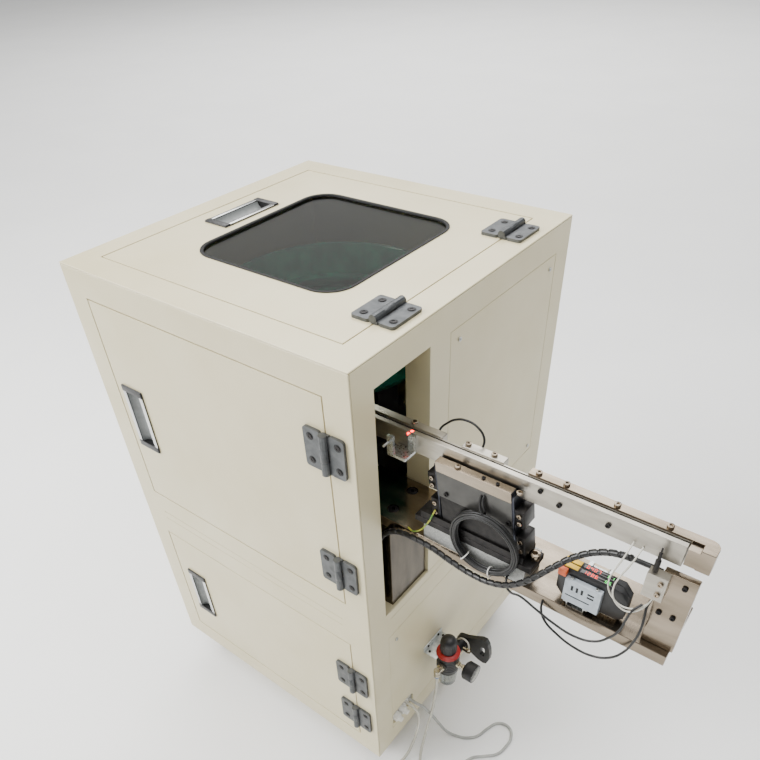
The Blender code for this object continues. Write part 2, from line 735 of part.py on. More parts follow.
def frame_leaf(name, axis_x, along, face, upright):
    """A frame's hinge leaf with the two outer knuckles."""
    third = LEAF_H / 3
    a0 = along - LEAF_H / 2
    inner = axis_x + KNUCKLE_R + 0.0008
    outline = rounded(inner, a0, axis_x + FRAME_LEAF_W, a0 + LEAF_H, LEAF_R, 3)
    if upright:
        leaf = slab(name, outline, 'Y', face - LEAF_T, face - FIT, ZINC)
    else:
        leaf = slab(name, outline, 'Z', face + FIT, face + LEAF_T, ZINC)
    for part, b0, b1 in (("low", a0, a0 + third), ("high", a0 + 2 * third, a0 + LEAF_H)):
        if upright:
            tongue = box(f"{name}_tongue_{part}", (axis_x, face - LEAF_T, b0),
                         (inner + 0.001, face - 0.001, b1))
            barrel = rod(f"{name}_knuckle_{part}", (axis_x, face - PIN_OUT, b0),
                         (axis_x, face - PIN_OUT, b1), KNUCKLE_R, sides=12)
        else:
            tongue = box(f"{name}_tongue_{part}", (axis_x, b0, face + 0.001),
                         (inner + 0.001, b1, face + LEAF_T))
            barrel = rod(f"{name}_knuckle_{part}", (axis_x, b0, face + PIN_OUT),
                         (axis_x, b1, face + PIN_OUT), KNUCKLE_R, sides=12)
        fuse(leaf, tongue, barrel)
    return leaf


def grip(name, x0, lo, face, upright):
    """A recessed handle: a lip on the skin, a cup behind it, open in front."""
    x1 = x0 + GRIP_W
    hi = lo + GRIP_L
    if upright:
        body = box(name, (x0, face - FIT - GRIP_LIP_T, lo), (x1, face - FIT, hi), BLACK, 0.0005, 1)
        cup = box(f"{name}_cup", (x0 + GRIP_FLANGE, face - FIT - GRIP_LIP_T / 2, lo + GRIP_FLANGE),
                  (x1 - GRIP_FLANGE, face + GRIP_DEEP, hi - GRIP_FLANGE))
        hollow = box(f"{name}_hollow", (x0 + GRIP_STRIP, face - 0.01, lo + GRIP_CAP),
                     (x1 - GRIP_STRIP, face + GRIP_DEEP - GRIP_WALL, hi - GRIP_CAP))
    else:
        body = box(name, (x0, lo, face + FIT), (x1, hi, face + FIT + GRIP_LIP_T), BLACK, 0.0005, 1)
        cup = box(f"{name}_cup", (x0 + GRIP_FLANGE, lo + GRIP_FLANGE, face - GRIP_DEEP),
                  (x1 - GRIP_FLANGE, hi - GRIP_FLANGE, face + FIT + GRIP_LIP_T / 2))
        hollow = box(f"{name}_hollow", (x0 + GRIP_STRIP, lo + GRIP_CAP, face - GRIP_DEEP + GRIP_WALL),
                     (x1 - GRIP_STRIP, hi - GRIP_CAP, face + 0.01))
    fuse(body, cup)
    cut(body, hollow)
    return body


def grip_hole(name, x0, lo, face, upright):
    """The cut-out in a door's skin for its handle."""
    inset = GRIP_FLANGE - FIT
    if upright:
        return box(name, (x0 + inset, face - 0.01, lo + inset),
                   (x0 + GRIP_W - inset, face + 0.03, lo + GRIP_L - inset))
    return box(name, (x0 + inset, lo + inset, face - 0.03),
               (x0 + GRIP_W - inset, lo + GRIP_L - inset, face + 0.01))


# Doors: folded pans, open at the back
for tag, z0, z1, grip_x, grip_z, hinges in (
        ("upper", UP_Z0, UP_Z1, UP_GRIP_X, UP_GRIP_Z, UP_HINGES),
        ("lower", LOW_Z0, LOW_Z1, LOW_GRIP_X, LOW_GRIP_Z, LOW_HINGES)):
    door = box(f"{tag}_door", (DOOR_X0 + REVEAL, 0, z0 + REVEAL),
               (DOOR_X1 - REVEAL, DOOR_DEPTH, z1 - REVEAL), ENAMEL, 0.0006, 1)
    cut(door,
        box(f"{tag}_pan", (DOOR_X0 + REVEAL + SHEET, SHEET, z0 + REVEAL + SHEET),
            (DOOR_X1 - REVEAL - SHEET, DOOR_DEPTH + 0.01, z1 - REVEAL - SHEET)),
        grip_hole(f"{tag}_grip_hole", grip_x, grip_z, 0.0, True))
    for place_tag, z in zip(("top", "bottom"), hinges):
        door_leaf(door, f"{tag}_{place_tag}", HINGE_X, z, 0.0, True)
        frame_leaf(f"{tag}_hinge_{place_tag}", HINGE_X, z, 0.0, True)
    handle = grip(f"{tag}_door_handle", grip_x, grip_z, 0.0, True)
    hang(pivot(f"{tag}_door_axis", HINGE_X, -PIN_OUT, (z0 + z1) / 2), door, handle)

# Lid with its window
lid = box("lid", (LID_LEFT + REVEAL, LID_FRONT + REVEAL, CAB_H - DOOR_DEPTH),
          (LID_X1 - REVEAL, LID_Y1 - REVEAL, CAB_H), ENAMEL, 0.0006, 1)
cut(lid,
    box("lid_pan", (LID_LEFT + REVEAL + SHEET, LID_FRONT + REVEAL + SHEET,
                    CAB_H - DOOR_DEPTH - 0.01),
        (LID_X1 - REVEAL - SHEET, LID_Y1 - REVEAL - SHEET, CAB_H - SHEET)),
    slab("window_hole", rounded(WINDOW_X, WINDOW_Y, WINDOW_X + WINDOW_W, WINDOW_Y + WINDOW_D,
                                WINDOW_R, 6), 'Z', CAB_H - 0.02, CAB_H + 0.01),
    grip_hole("lid_grip_hole", LID_GRIP_X, LID_GRIP_Y, CAB_H, False))
for tag, y in zip(("front", "rear"), LID_HINGES):
    door_leaf(lid, f"lid_{tag}", LID_HINGE_X, y, CAB_H, False)
    frame_leaf(f"lid_hinge_{tag}", LID_HINGE_X, y, CAB_H, False)
pane_top = CAB_H - SHEET - FIT
pane = slab("lid_window",
            rounded(WINDOW_X - PANE_LAP, WINDOW_Y - PANE_LAP, WINDOW_X + WINDOW_W + PANE_LAP,
                    WINDOW_Y + WINDOW_D + PANE_LAP, WINDOW_R + PANE_LAP, 6),
            'Z', pane_top - PANE_T, pane_top, TINTED)
lid_handle = grip("lid_handle", LID_GRIP_X, LID_GRIP_Y, CAB_H, False)
hang(pivot("lid_axis", LID_HINGE_X, (LID_FRONT + LID_Y1) / 2, CAB_H + PIN_OUT), lid, pane, lid_handle)


# Casters: swivelling housing with a trailing wheel, and a foot screwed down at the swivel's axis
WHEEL_Z = -(STAND_H - WHEEL_R - WHEEL_LIFT)
HOUSE_Z1 = -CASTER_PLATE_T - FIT
HOUSE_Z0 = HOUSE_Z1 - TURRET_H
CHEEK_Y = WHEEL_W / 2 + 0.001
for tag, cx, cy, way in CASTERS:
    wy = cy + way * CASTER_TRAIL
    outer = CHEEK_Y + CHEEK_T
    house = rod(f"caster_{tag}_housing", (cx, cy, HOUSE_Z0), (cx, cy, HOUSE_Z1), TURRET_R, WHITE, 20)
    reach = sorted((cy, wy + way * 0.014))
    fuse(house, box(f"hood_{tag}", (cx - outer, reach[0], HOUSE_Z0), (cx + outer, reach[1], HOUSE_Z1)))
    for side, s in (("left", -1), ("right", 1)):
        xs = sorted((cx + s * CHEEK_Y, cx + s * outer))
        ys = sorted((wy - way * 0.012, wy + way * 0.012))
        fuse(house, box(f"cheek_{tag}_{side}", (xs[0], ys[0], WHEEL_Z - 0.008),
                        (xs[1], ys[1], HOUSE_Z0 + 0.002)))
    fuse(house, rod(f"axle_{tag}", (cx - CHEEK_Y - 0.001, wy, WHEEL_Z),
                    (cx + CHEEK_Y + 0.001, wy, WHEEL_Z), AXLE_R, sides=12))
    stem_top = HOUSE_Z0 + 0.008
    cut(house, rod(f"stem_hole_{tag}", (cx, cy, HOUSE_Z0 - 0.01),
                   (cx, cy, stem_top + FOOT_TRAVEL + 0.002), STEM_R + FIT, sides=16))
    hub_r = AXLE_R + FIT
    wheel = turned(f"caster_{tag}_wheel",
                   [(hub_r, WHEEL_W / 2), (WHEEL_R - 0.002, WHEEL_W / 2), (WHEEL_R, WHEEL_W / 2 - 0.002),
                    (WHEEL_R, -WHEEL_W / 2 + 0.002), (WHEEL_R - 0.002, -WHEEL_W / 2),
                    (hub_r, -WHEEL_W / 2)], (cx, wy, WHEEL_Z), 'X', 18, WHITE, ring=True)
    dial_z = WHEEL_Z + 0.012
    foot = turned(f"caster_{tag}_foot",
                  [(0.0, stem_top), (STEM_R, stem_top), (STEM_R, dial_z + DIAL_T / 2),
                   (DIAL_R, dial_z + DIAL_T / 2), (DIAL_R, dial_z - DIAL_T / 2),
                   (STEM_R, dial_z - DIAL_T / 2), (STEM_R, -STAND_H + FOOT_T + 0.004),
                   (FOOT_R, -STAND_H + FOOT_T), (FOOT_R, -STAND_H), (0.0, -STAND_H)],
                  (cx, cy, 0), 'Z', 16, RUBBER)
    swivel = pivot(f"caster_{tag}_swivel_axis", cx, cy, HOUSE_Z1)
    hang(swivel, house)
    roll = pivot(f"caster_{tag}_wheel_axis", cx, wy, WHEEL_Z)
    hang(roll, wheel)
    lift = pivot(f"caster_{tag}_foot_axis", cx, cy, -STAND_H)
    hang(lift, foot)

# Bowl: turned shell with a rising ledge inside, and a chute that meets the track
bowl_in = BOWL_R - BOWL_WALL
floor_top = BOWL_Z0 + BOWL_FLOOR_T
bowl = turned("bowl",
              [(0.0, floor_top + BOWL_DOME), (BOWL_FLOOR_R * 0.5, floor_top + BOWL_DOME * 0.7),
               (BOWL_FLOOR_R, floor_top), (bowl_in - 0.012, floor_top + 0.004),
               (bowl_in, floor_top + 0.016), (bowl_in, BOWL_RIM_Z - 0.002), (bowl_in + 0.001, BOWL_RIM_Z),
               (BOWL_R + 0.0015, BOWL_RIM_Z), (BOWL_R + 0.0015, BOWL_RIM_Z - 0.005),
               (BOWL_R, BOWL_RIM_Z - 0.006), (BOWL_R, BOWL_Z0 + 0.018), (BOWL_R - 0.016, BOWL_Z0),
               (0.0, BOWL_Z0)], (BOWL_X, BOWL_Y, 0), 'Z', 56, TEAL)


def rising_ledge(name, turns, z_start, z_end, width, thick):
    """A ledge along the bowl's inner wall, sloping a little outwards, climbing to the outlet."""
    steps = int(32 * turns)
    made = bmesh.new()
    rings = []
    for i in range(steps + 1):
        share = i / steps
        angle = math.radians(-90.0) - 2 * math.pi * turns * (1 - share)
        z = z_start + (z_end - z_start) * share
        ring = []
        for r, h in ((bowl_in + 0.0015, z - 0.002), (bowl_in - width, z),
                     (bowl_in - width, z - thick), (bowl_in + 0.0015, z - 0.002 - thick)):
            x = BOWL_X + r * math.cos(angle)
            y = BOWL_Y + r * math.sin(angle)
            ring.append(made.verts.new(seat(x, y, h)))
        rings.append(ring)
    for one, two in zip(rings, rings[1:]):
        for k in range(4):
            made.faces.new((one[k], one[(k + 1) % 4], two[(k + 1) % 4], two[k]))
    made.faces.new(rings[0])
    made.faces.new(list(reversed(rings[-1])))
    mesh = bpy.data.meshes.new(name)
    made.to_mesh(mesh)
    made.free()
    return place(name, mesh, None)


OUT_Z = RAIL_TOP - 0.010
fuse(bowl, rising_ledge("bowl_ledge", LEDGE_TURNS, floor_top + 0.006, OUT_Z, LEDGE_W, LEDGE_THICK))
CHUTE_X1 = RAIL_X0 - FIT - SHAKE_GAP - 0.0012
fuse(bowl, box("chute", (CHUTE_X, RAIL_SIT_Y, OUT_Z - 0.016), (CHUTE_X1, REAR_Y + RAIL_W, RAIL_TOP)))
cut(bowl, box("chute_channel", (CHUTE_X - 0.012, RAIL_SIT_Y + CHUTE_WALL, OUT_Z - 0.001),
              (CHUTE_X1 + 0.01, REAR_Y + RAIL_W - CHUTE_WALL, BOWL_RIM_Z - 0.012)))
disc_top = BOWL_Z0 - FIT
disc = turned("bowl_drive_top",
              [(0.0, disc_top), (DRIVE_DISC_R - 0.002, disc_top), (DRIVE_DISC_R, disc_top - 0.002),
               (DRIVE_DISC_R, disc_top - DRIVE_DISC_T), (0.0, disc_top - DRIVE_DISC_T)],
              (BOWL_X, BOWL_Y, 0), 'Z', 32, GREY)
cast_z0 = DECK_TOP + FIT + BUFFER_H
cast_z1 = cast_z0 + CAST_H
spring_top = disc_top - DRIVE_DISC_T - FIT
drive = turned("bowl_drive_base",
               [(0.0, spring_top - 0.006), (CORE_R, spring_top - 0.006), (CORE_R, cast_z1),
                (CAST_R - 0.004, cast_z1), (CAST_R, cast_z1 - 0.004), (CAST_R, cast_z0), (0.0, cast_z0)],
               (BOWL_X, BOWL_Y, 0), 'Z', 28, GREY)
for i in range(3):
    turn = math.radians(90.0 + 120.0 * i)
    bx = BOWL_X + (CAST_R - 0.030) * math.cos(turn)
    by = BOWL_Y + (CAST_R - 0.030) * math.sin(turn)
    fuse(drive, rod(f"buffer_{i}", (bx, by, DECK_TOP + FIT), (bx, by, cast_z0 + 0.004), BUFFER_R,
                    sides=20))
for i in range(4):
    made = bmesh.new()
    bmesh.ops.create_cube(made, size=1.0)
    tall = spring_top - cast_z1 + 0.020
    bmesh.ops.scale(made, vec=(SPRING_T, SPRING_W, tall), verts=made.verts)
    lean = math.tan(math.radians(SPRING_LEAN))
    for vert in made.verts:
        vert.co.x += vert.co.z * lean
    bmesh.ops.translate(made, vec=(0.0, -(DRIVE_DISC_R - SPRING_W / 2 - 0.006), 0.0), verts=made.verts)
    spin = Matrix.Rotation(math.radians(45.0 + 90.0 * i), 4, 'Z')
    at = Matrix.Translation(seat(BOWL_X, BOWL_Y, (spring_top + cast_z1 - 0.020) / 2))
    bmesh.ops.transform(made, matrix=at @ spin, verts=made.verts)
    mesh = bpy.data.meshes.new(f"bowl_spring_{i}")
    made.to_mesh(mesh)
    made.free()
    fuse(drive, place(f"bowl_spring_{i}", mesh, None))
hang(pivot("bowl_axis", BOWL_X, BOWL_Y, BOWL_Z0), bowl, disc)

# Arm: long plate through the slot on a post that stands on the deck
arm = box("arm_base_plate", (ARM_X0, ARM_Y, ARM_Z), (ARM_X1, ARM_Y + ARM_W, ARM_TOP), NICKEL, 0.0008, 1)
for i, y in enumerate(BORE_Y):
    cut(arm, rod(f"arm_bore_{i}", (BORE_X, y, ARM_TOP - BORE_DEEP), (BORE_X, y, ARM_TOP + 0.01),
                 BORE_R, sides=24))
box("arm_post", (POST_X, ARM_Y, DECK_TOP + FIT), (POST_X + POST_T, ARM_Y + ARM_W, ARM_Z - FIT),
    NICKEL, 0.0008, 1)
box("drive_riser", (RISER_X, ARM_Y, ARM_TOP + FIT), (RISER_X + RISER_L, ARM_Y + RISER_D, RISER_TOP),
    BLASTED, 0.0006, 1)

# Linear drive: fixed base with its magnet, and a moving top between two leaning leaf springs
LEAN_T = math.tan(math.radians(LEAN))
flange_z = RISER_TOP + FIT


def leaning(x, z):
    """The springs' lean: x at height z for a line that is at x on the flange's underside."""
    return x - (z - flange_z) * LEAN_T


def between_springs(z0, z1, gap):
    """A four-sided outline whose ends lean with the springs, inside them by a gap."""
    near = LEAF_SPRING_T / math.cos(math.radians(LEAN)) / 2 + gap
    return [(leaning(SPRING_LEFT_X, z0) + near, z0), (leaning(SPRING_RIGHT_X, z0) - near, z0),
            (leaning(SPRING_RIGHT_X, z1) - near, z1), (leaning(SPRING_LEFT_X, z1) + near, z1)]


base = box("drive_base", (FLANGE_X, DRIVE_Y, flange_z),
           (FLANGE_X + FLANGE_L, DRIVE_Y + DRIVE_W, flange_z + FLANGE_T), NICKEL, 0.0006, 1)
fuse(base, box("drive_block", (BLOCK_X, DRIVE_Y + 0.001, flange_z + FLANGE_T / 2),
               (BLOCK_X + BLOCK_L, DRIVE_Y + DRIVE_W - 0.001, BLOCK_TOP)))
fuse(base, slab("drive_magnet", between_springs(BLOCK_TOP - 0.004, MAGNET_TOP, SHAKE_GAP), 'Y',
                DRIVE_Y + MAGNET_IN, DRIVE_Y + DRIVE_W - MAGNET_IN))

TOP_Y0 = DRIVE_Y + 0.0025
TOP_Y1 = REAR_Y + RAIL_W + 0.001
mover = slab("drive_top", between_springs(TOP_Z0, TRACK_Z, -0.0005), 'Y', TOP_Y0, TOP_Y1, GREY)
fuse(mover, slab("drive_lip", between_springs(TOP_Z0 + 0.004, TRACK_Z + TOP_LIP_H, 0.0), 'Y',
                 TOP_Y0, TOP_Y0 + TOP_LIP_D))
spring_z0 = BLOCK_TOP + SHAKE_GAP * 2
spring_z1 = TRACK_Z + TOP_LIP_H - 0.006
for tag, x in (("left", SPRING_LEFT_X), ("right", SPRING_RIGHT_X)):
    half = LEAF_SPRING_T / math.cos(math.radians(LEAN)) / 2
    outline = [(leaning(x, spring_z0) - half, spring_z0), (leaning(x, spring_z0) + half, spring_z0),
               (leaning(x, spring_z1) + half, spring_z1), (leaning(x, spring_z1) - half, spring_z1)]
    leaf_y1 = RAIL_SIT_Y - SHAKE_GAP
    fuse(mover, slab(f"leaf_spring_{tag}", outline, 'Y', DRIVE_Y + LEAF_SPRING_IN, leaf_y1))
    low = [(leaning(x, spring_z0) - half, spring_z0), (leaning(x, spring_z0) + half, spring_z0),
           (leaning(x, TRACK_Z) + half, TRACK_Z), (leaning(x, TRACK_Z) - half, TRACK_Z)]
    fuse(mover, slab(f"leaf_spring_rear_{tag}", low, 'Y', leaf_y1 - 0.001,
                     DRIVE_Y + DRIVE_W - LEAF_SPRING_IN))

# Track: two rails with a narrow groove, clamp plates on the rear one, head plate at the end
front_rail = box("track_front_rail", (RAIL_X0, RAIL_SIT_Y, RAIL_Z0),
                 (RAIL_X1, RAIL_SIT_Y + RAIL_W, RAIL_TOP), NICKEL, 0.0006, 1)
rear_rail = slab("track_rear_rail",
                 [(REAR_Y, RAIL_Z0), (REAR_Y + RAIL_W, RAIL_Z0), (REAR_Y + RAIL_W, REAR_TOP),
                  (REAR_Y + RIM_W, REAR_TOP), (REAR_Y + RIM_W, RAIL_TOP), (REAR_Y, RAIL_TOP)],
                 'X', RAIL_X0, RAIL_X1, NICKEL)
for tag, x0, x1 in (("left", RAIL_X0, CLAMP_LEFT_X1), ("middle", CLAMP_MID_X, CLAMP_MID_X + CLAMP_MID_L)):
    fuse(rear_rail, box(f"clamp_{tag}", (x0, CLAMP_Y0 - FIT, REAR_TOP - 0.002),
                        (x1, CLAMP_Y1, CLAMP_Z1), None, 0.0008, 1))
corner = [(HEAD_X0, CLAMP_Y0), (HEAD_X1, CLAMP_Y0)]
for i in range(6):
    angle = math.radians(90.0 * i / 5)
    corner.append((HEAD_X1 - HEAD_R + HEAD_R * math.cos(angle), CLAMP_Y1 - HEAD_R + HEAD_R * math.sin(angle)))
corner.append((HEAD_X0, CLAMP_Y1))
head = slab("track_head_plate", corner, 'Z', REAR_TOP + FIT, CLAMP_Z1, NICKEL)
nose_x0 = HEAD_X1 - HEAD_NOSE_L
fuse(head,
     box("head_nose", (nose_x0, RAIL_SIT_Y - 0.001, CLAMP_Z1 - HEAD_NOSE_H),
         (HEAD_X1, CLAMP_Y1 - HEAD_R, CLAMP_Z1 + 0.001), None, 0.0006, 1),
     box("head_stop", (nose_x0 - STOP_L + FIT, RAIL_SIT_Y - 0.001, RAIL_Z0 + 0.006),
         (nose_x0 + 0.001, RAIL_SIT_Y - 0.001 + STOP_D, RAIL_TOP - 0.001)))

# Sensor fork on the front rail's face
fork_y1 = RAIL_SIT_Y - FIT
fork = box("sensor_fork", (FORK_X, fork_y1 - FORK_REACH, RAIL_Z0),
           (FORK_X + FORK_W, fork_y1, RAIL_Z0 + FORK_T), PALE, 0.0005, 1)
fuse(fork,
     box("fork_post", (FORK_X, fork_y1 - FORK_REACH, RAIL_Z0 + FORK_T / 2),
         (FORK_X + FORK_POST_W, fork_y1 - FORK_REACH + FORK_T, RAIL_Z0 + FORK_POST_H)),
     box("fork_cheek", (FORK_X + FORK_W - FORK_POST_W, fork_y1 - FORK_T, RAIL_Z0 + FORK_T / 2),
         (FORK_X + FORK_W, fork_y1, RAIL_Z0 + FORK_POST_H - 0.004)),
     rod("fork_needle", (FORK_X + FORK_POST_W / 2, fork_y1 - FORK_REACH - 0.014, RAIL_TOP - 0.006),
         (FORK_X + FORK_POST_W / 2, fork_y1 - FORK_REACH + FORK_T + 0.004, RAIL_TOP - 0.006),
         NEEDLE_R, sides=12))
hang(pivot("track_axis", (SPRING_LEFT_X + SPRING_RIGHT_X) / 2, RAIL_SIT_Y + RAIL_W, TRACK_Z),
     mover, front_rail, rear_rail, head, fork)

# End support with its fibre block
support = box("end_support", (END_X, END_Y, ARM_TOP + FIT), (END_X + END_W, END_Y + END_T,
                                                           ARM_TOP + FIT + END_H),
              NICKEL, 0.0008, 1)
fuse(support, box("fibre_block", (PAD_X, END_Y - PAD_T, ARM_TOP + FIT + END_H - PAD_H),
                  (PAD_X + PAD_W, END_Y + 0.0004, ARM_TOP + FIT + END_H)))

# Amplifiers on a hat rail
z0 = ARM_TOP + FIT
x0 = AMP_RAIL_X
x1 = AMP_RAIL_X + AMP_RAIL_W
t = AMP_RAIL_T
wing = 0.005
hat = [(x0 + wing, z0), (x1 - wing, z0), (x1 - wing, z0 + AMP_RAIL_H - t), (x1, z0 + AMP_RAIL_H - t),
       (x1, z0 + AMP_RAIL_H), (x1 - wing - t, z0 + AMP_RAIL_H), (x1 - wing - t, z0 + t),
       (x0 + wing + t, z0 + t), (x0 + wing + t, z0 + AMP_RAIL_H), (x0, z0 + AMP_RAIL_H),
       (x0, z0 + AMP_RAIL_H - t), (x0 + wing, z0 + AMP_RAIL_H - t)]
amps = slab("sensor_amplifiers", hat, 'Y', ARM_Y + 0.004, ARM_Y + 0.004 + AMP_RAIL_L, BLACK)
a0 = z0 + AMP_RAIL_H - t / 2
a1 = z0 + AMP_RAIL_H + AMP_H
shell = [(AMP_X + 0.010, a0), (AMP_X + AMP_L - 0.010, a0), (AMP_X + AMP_L, a0 + 0.008),
         (AMP_X + AMP_L, a1 - 0.014), (AMP_X + AMP_L - 0.012, a1), (AMP_X + 0.010, a1),
         (AMP_X, a1 - 0.010), (AMP_X, a0 + 0.012)]
fuse(amps, slab("amp_pair", shell, 'Y', AMP_Y, AMP_Y + 2 * AMP_W))
cut(amps, box("amp_split", (AMP_X - 0.01, AMP_Y + AMP_W - 0.0003, a0 + 0.010),
              (AMP_X + AMP_L + 0.01, AMP_Y + AMP_W + 0.0003, a1 + 0.01)))
clamp_x0 = x0 - 0.003
fuse(amps, box("rail_clamp", (clamp_x0, AMP_Y - CLAMP_END_W, a0),
               (clamp_x0 + CLAMP_END_L, AMP_Y + 0.0005, a0 + CLAMP_END_H), None, 0.0008, 1))

# Air regulator on a bracket screwed to the lower side panel
reg_x = CAB_W + REG_OUT
reg_top = REG_Z + REG_H
regulator = turned("regulator",
                   [(0.0, reg_top + RING_H), (RING_R - 0.001, reg_top + RING_H), (RING_R, reg_top + RING_H - 0.001),
                    (RING_R, reg_top), (REG_R, reg_top), (REG_R, REG_Z), (CUP_R, REG_Z - 0.002),
                    (CUP_R, REG_Z - CUP_H + 0.010), (CUP_R * 0.6, REG_Z - CUP_H),
                    (0.005, REG_Z - CUP_H), (0.004, REG_Z - CUP_H - 0.012), (0.0, REG_Z - CUP_H - 0.012)],
                   (reg_x, REG_Y, 0), 'Z', 24, BLACK, first=4.0)
elbow_y = REG_Y - PORT_OUT - 0.007
wall_x = CAB_W + FIT
port_y1 = REG_Y + REG_R + PORT_BOSS
bracket_z = reg_top - BRACKET_T - 0.0015
fuse(regulator,
     rod("reg_port", (reg_x, REG_Y - PORT_OUT, PORT_Z), (reg_x, port_y1, PORT_Z), PORT_R, sides=24),
     rod("reg_elbow", (reg_x, elbow_y, PORT_Z), (reg_x, REG_Y - PORT_OUT + 0.002, PORT_Z), ELBOW_R, sides=20),
     rod("reg_elbow_down", (reg_x, elbow_y, PORT_Z - ELBOW_DROP), (reg_x, elbow_y, PORT_Z + ELBOW_R + 0.0012),
         ELBOW_R + 0.0008, sides=20),
     rod("reg_neck", (reg_x, REG_Y, PORT_Z), (reg_x + REG_R + GAUGE_NECK, REG_Y, PORT_Z), NECK_R, sides=16),
     slab("reg_bracket", [(wall_x, bracket_z + BRACKET_H), (wall_x, bracket_z),
                          (reg_x + REG_R * 0.85, bracket_z),
                          (reg_x + REG_R * 0.85, bracket_z + BRACKET_T),
                          (wall_x + BRACKET_T, bracket_z + BRACKET_T),
                          (wall_x + BRACKET_T, bracket_z + BRACKET_H)], 'Y', BRACKET_Y0, BRACKET_Y1))
knob_z = reg_top + RING_H + FIT
knob_rim = []
for i in range(36):
    r = KNOB_R if i % 3 else KNOB_R - 0.0008
    knob_rim.append((reg_x + r * math.cos(math.pi * i / 18), REG_Y + r * math.sin(math.pi * i / 18)))
knob = slab("regulator_knob", knob_rim, 'Z', knob_z, knob_z + KNOB_H, BLACK)
hang(pivot("regulator_knob_axis", reg_x, REG_Y, knob_z), knob)

gauge_x = reg_x + REG_R + GAUGE_NECK + FIT
turned("pressure_gauge",
       [(0.0, GAUGE_T - 0.002), (GAUGE_R - 0.0025, GAUGE_T - 0.002), (GAUGE_R - 0.0025, GAUGE_T),
        (GAUGE_R - 0.0005, GAUGE_T), (GAUGE_R, GAUGE_T - 0.001), (GAUGE_R, 0.004),
        (GAUGE_R - 0.004, 0.0), (0.0, 0.0)], (gauge_x, REG_Y, PORT_Z), 'X', 28, BLACK)

valve_y0 = port_y1 + FIT
lever_y0 = valve_y0 + VALVE_L + FIT
rod("shutoff_valve", (reg_x, valve_y0, PORT_Z), (reg_x, valve_y0 + VALVE_L, PORT_Z), VALVE_R, BLACK, 24)
paddle = [(LEVER_HUB_R * math.cos(math.radians(a)), LEVER_HUB_R * math.sin(math.radians(a)))
          for a in range(100, 261, 20)]
paddle += [(0.010, -0.0160), (0.026, -0.0270), (0.040, -0.0345), (0.052, -0.0370), (0.060, -0.0330),
           (0.065, -0.0180), (0.066, -0.0030), (0.064, 0.0150), (0.060, 0.0300), (0.054, 0.0400),
           (0.044, 0.0385), (0.026, 0.0270), (0.010, 0.0175)]
lever = slab("shutoff_lever", [(reg_x + u, PORT_Z + v) for u, v in paddle], 'Y', lever_y0,
             lever_y0 + LEVER_T, BLACK)
cut(lever, slab("lever_slot", rounded(reg_x + LEVER_SLOT_X, PORT_Z - LEVER_SLOT_L / 2,
                                      reg_x + LEVER_SLOT_X + LEVER_SLOT_W, PORT_Z + LEVER_SLOT_L / 2,
                                      LEVER_SLOT_W / 2 - 0.0002, 4),
                'Y', lever_y0 - 0.01, lever_y0 + LEVER_T + 0.01))
hang(pivot("shutoff_lever_axis", reg_x, lever_y0, PORT_Z), lever)

# Gland plate behind the cable notch
plate_x1 = CAB_W - SHEET - LEDGE_T - FIT
plate_x0 = plate_x1 - GLAND_PLATE_T
glands = box("cable_glands", (plate_x0, LOW_PANEL_FRONT - 0.004, NOTCH_Z - 0.008),
             (plate_x1, LOW_PANEL_FRONT + NOTCH_W + 0.008, NOTCH_Z + NOTCH_H + 0.008), WHITE)
for i, y in enumerate(GLAND_Y):
    fuse(glands,
         rod(f"gland_{i}", (plate_x0 + 0.001, y, GLAND_Z), (CAB_W + GLAND_OUT * 0.5, y, GLAND_Z), GLAND_R,
             sides=6),
         rod(f"gland_dome_{i}", (CAB_W, y, GLAND_Z), (CAB_W + GLAND_OUT, y, GLAND_Z), GLAND_R * 0.8,
             sides=20, end_radius=GLAND_R * 0.55))

# Cords: mains cable with its coil and plug, air tube, spiral-wrapped loom, hanging hank
FLOOR = -STAND_H
lie = FLOOR + MAINS_R + FIT
coil_out = MAINS_COIL_R + MAINS_COIL_W / 2
coil_in = MAINS_COIL_R - MAINS_COIL_W / 2
MAINS_EXIT_Y = LOW_PANEL_FRONT + 0.061
join_x = MAINS_COIL_X - 0.044
join_y = MAINS_COIL_Y + 0.040
cord("power_cable",
     [(plate_x1 + FIT, MAINS_EXIT_Y, 0.080), (0.604, MAINS_EXIT_Y, 0.080), (0.617, MAINS_EXIT_Y, 0.080),
      (0.6300, 0.1165, 0.0740), (0.6365, 0.1230, 0.0570), (0.6385, 0.1320, 0.0350), (0.6415, 0.1445, 0.0010),
      (0.6495, 0.1570, -0.0370), (0.6635, 0.1670, -0.0690), (0.6840, 0.1770, lie),
      (0.704, 0.186, lie), (0.722, 0.205, lie), (0.731, 0.235, lie), (0.745, 0.261, lie),
      (0.768, 0.266, lie), (0.785, 0.248, lie), (0.787, 0.220, lie), (0.7794, 0.1916, lie),
      (0.759, 0.171, lie), (0.7386, 0.1505, lie), (join_x, 0.122, lie), (join_x, join_y + FIT, lie)],
     MAINS_R, CABLE_GREY)
coil = turned("power_coil",
       [(coil_in, FLOOR + MAINS_COIL_H - 0.004), (coil_in + 0.004, FLOOR + MAINS_COIL_H),
        (coil_out - 0.004, FLOOR + MAINS_COIL_H), (coil_out, FLOOR + MAINS_COIL_H - 0.004),
        (coil_out, FLOOR + 0.0035), (coil_out - 0.0035, FLOOR + 0.0002), (coil_in + 0.0035, FLOOR + 0.0002),
        (coil_in, FLOOR + 0.0035)], (MAINS_COIL_X, MAINS_COIL_Y, 0), 'Z', 24, CABLE_GREY, ring=True)
plug_y = MAINS_COIL_Y - 0.0425
plug_x = MAINS_COIL_X + 0.048 + FIT
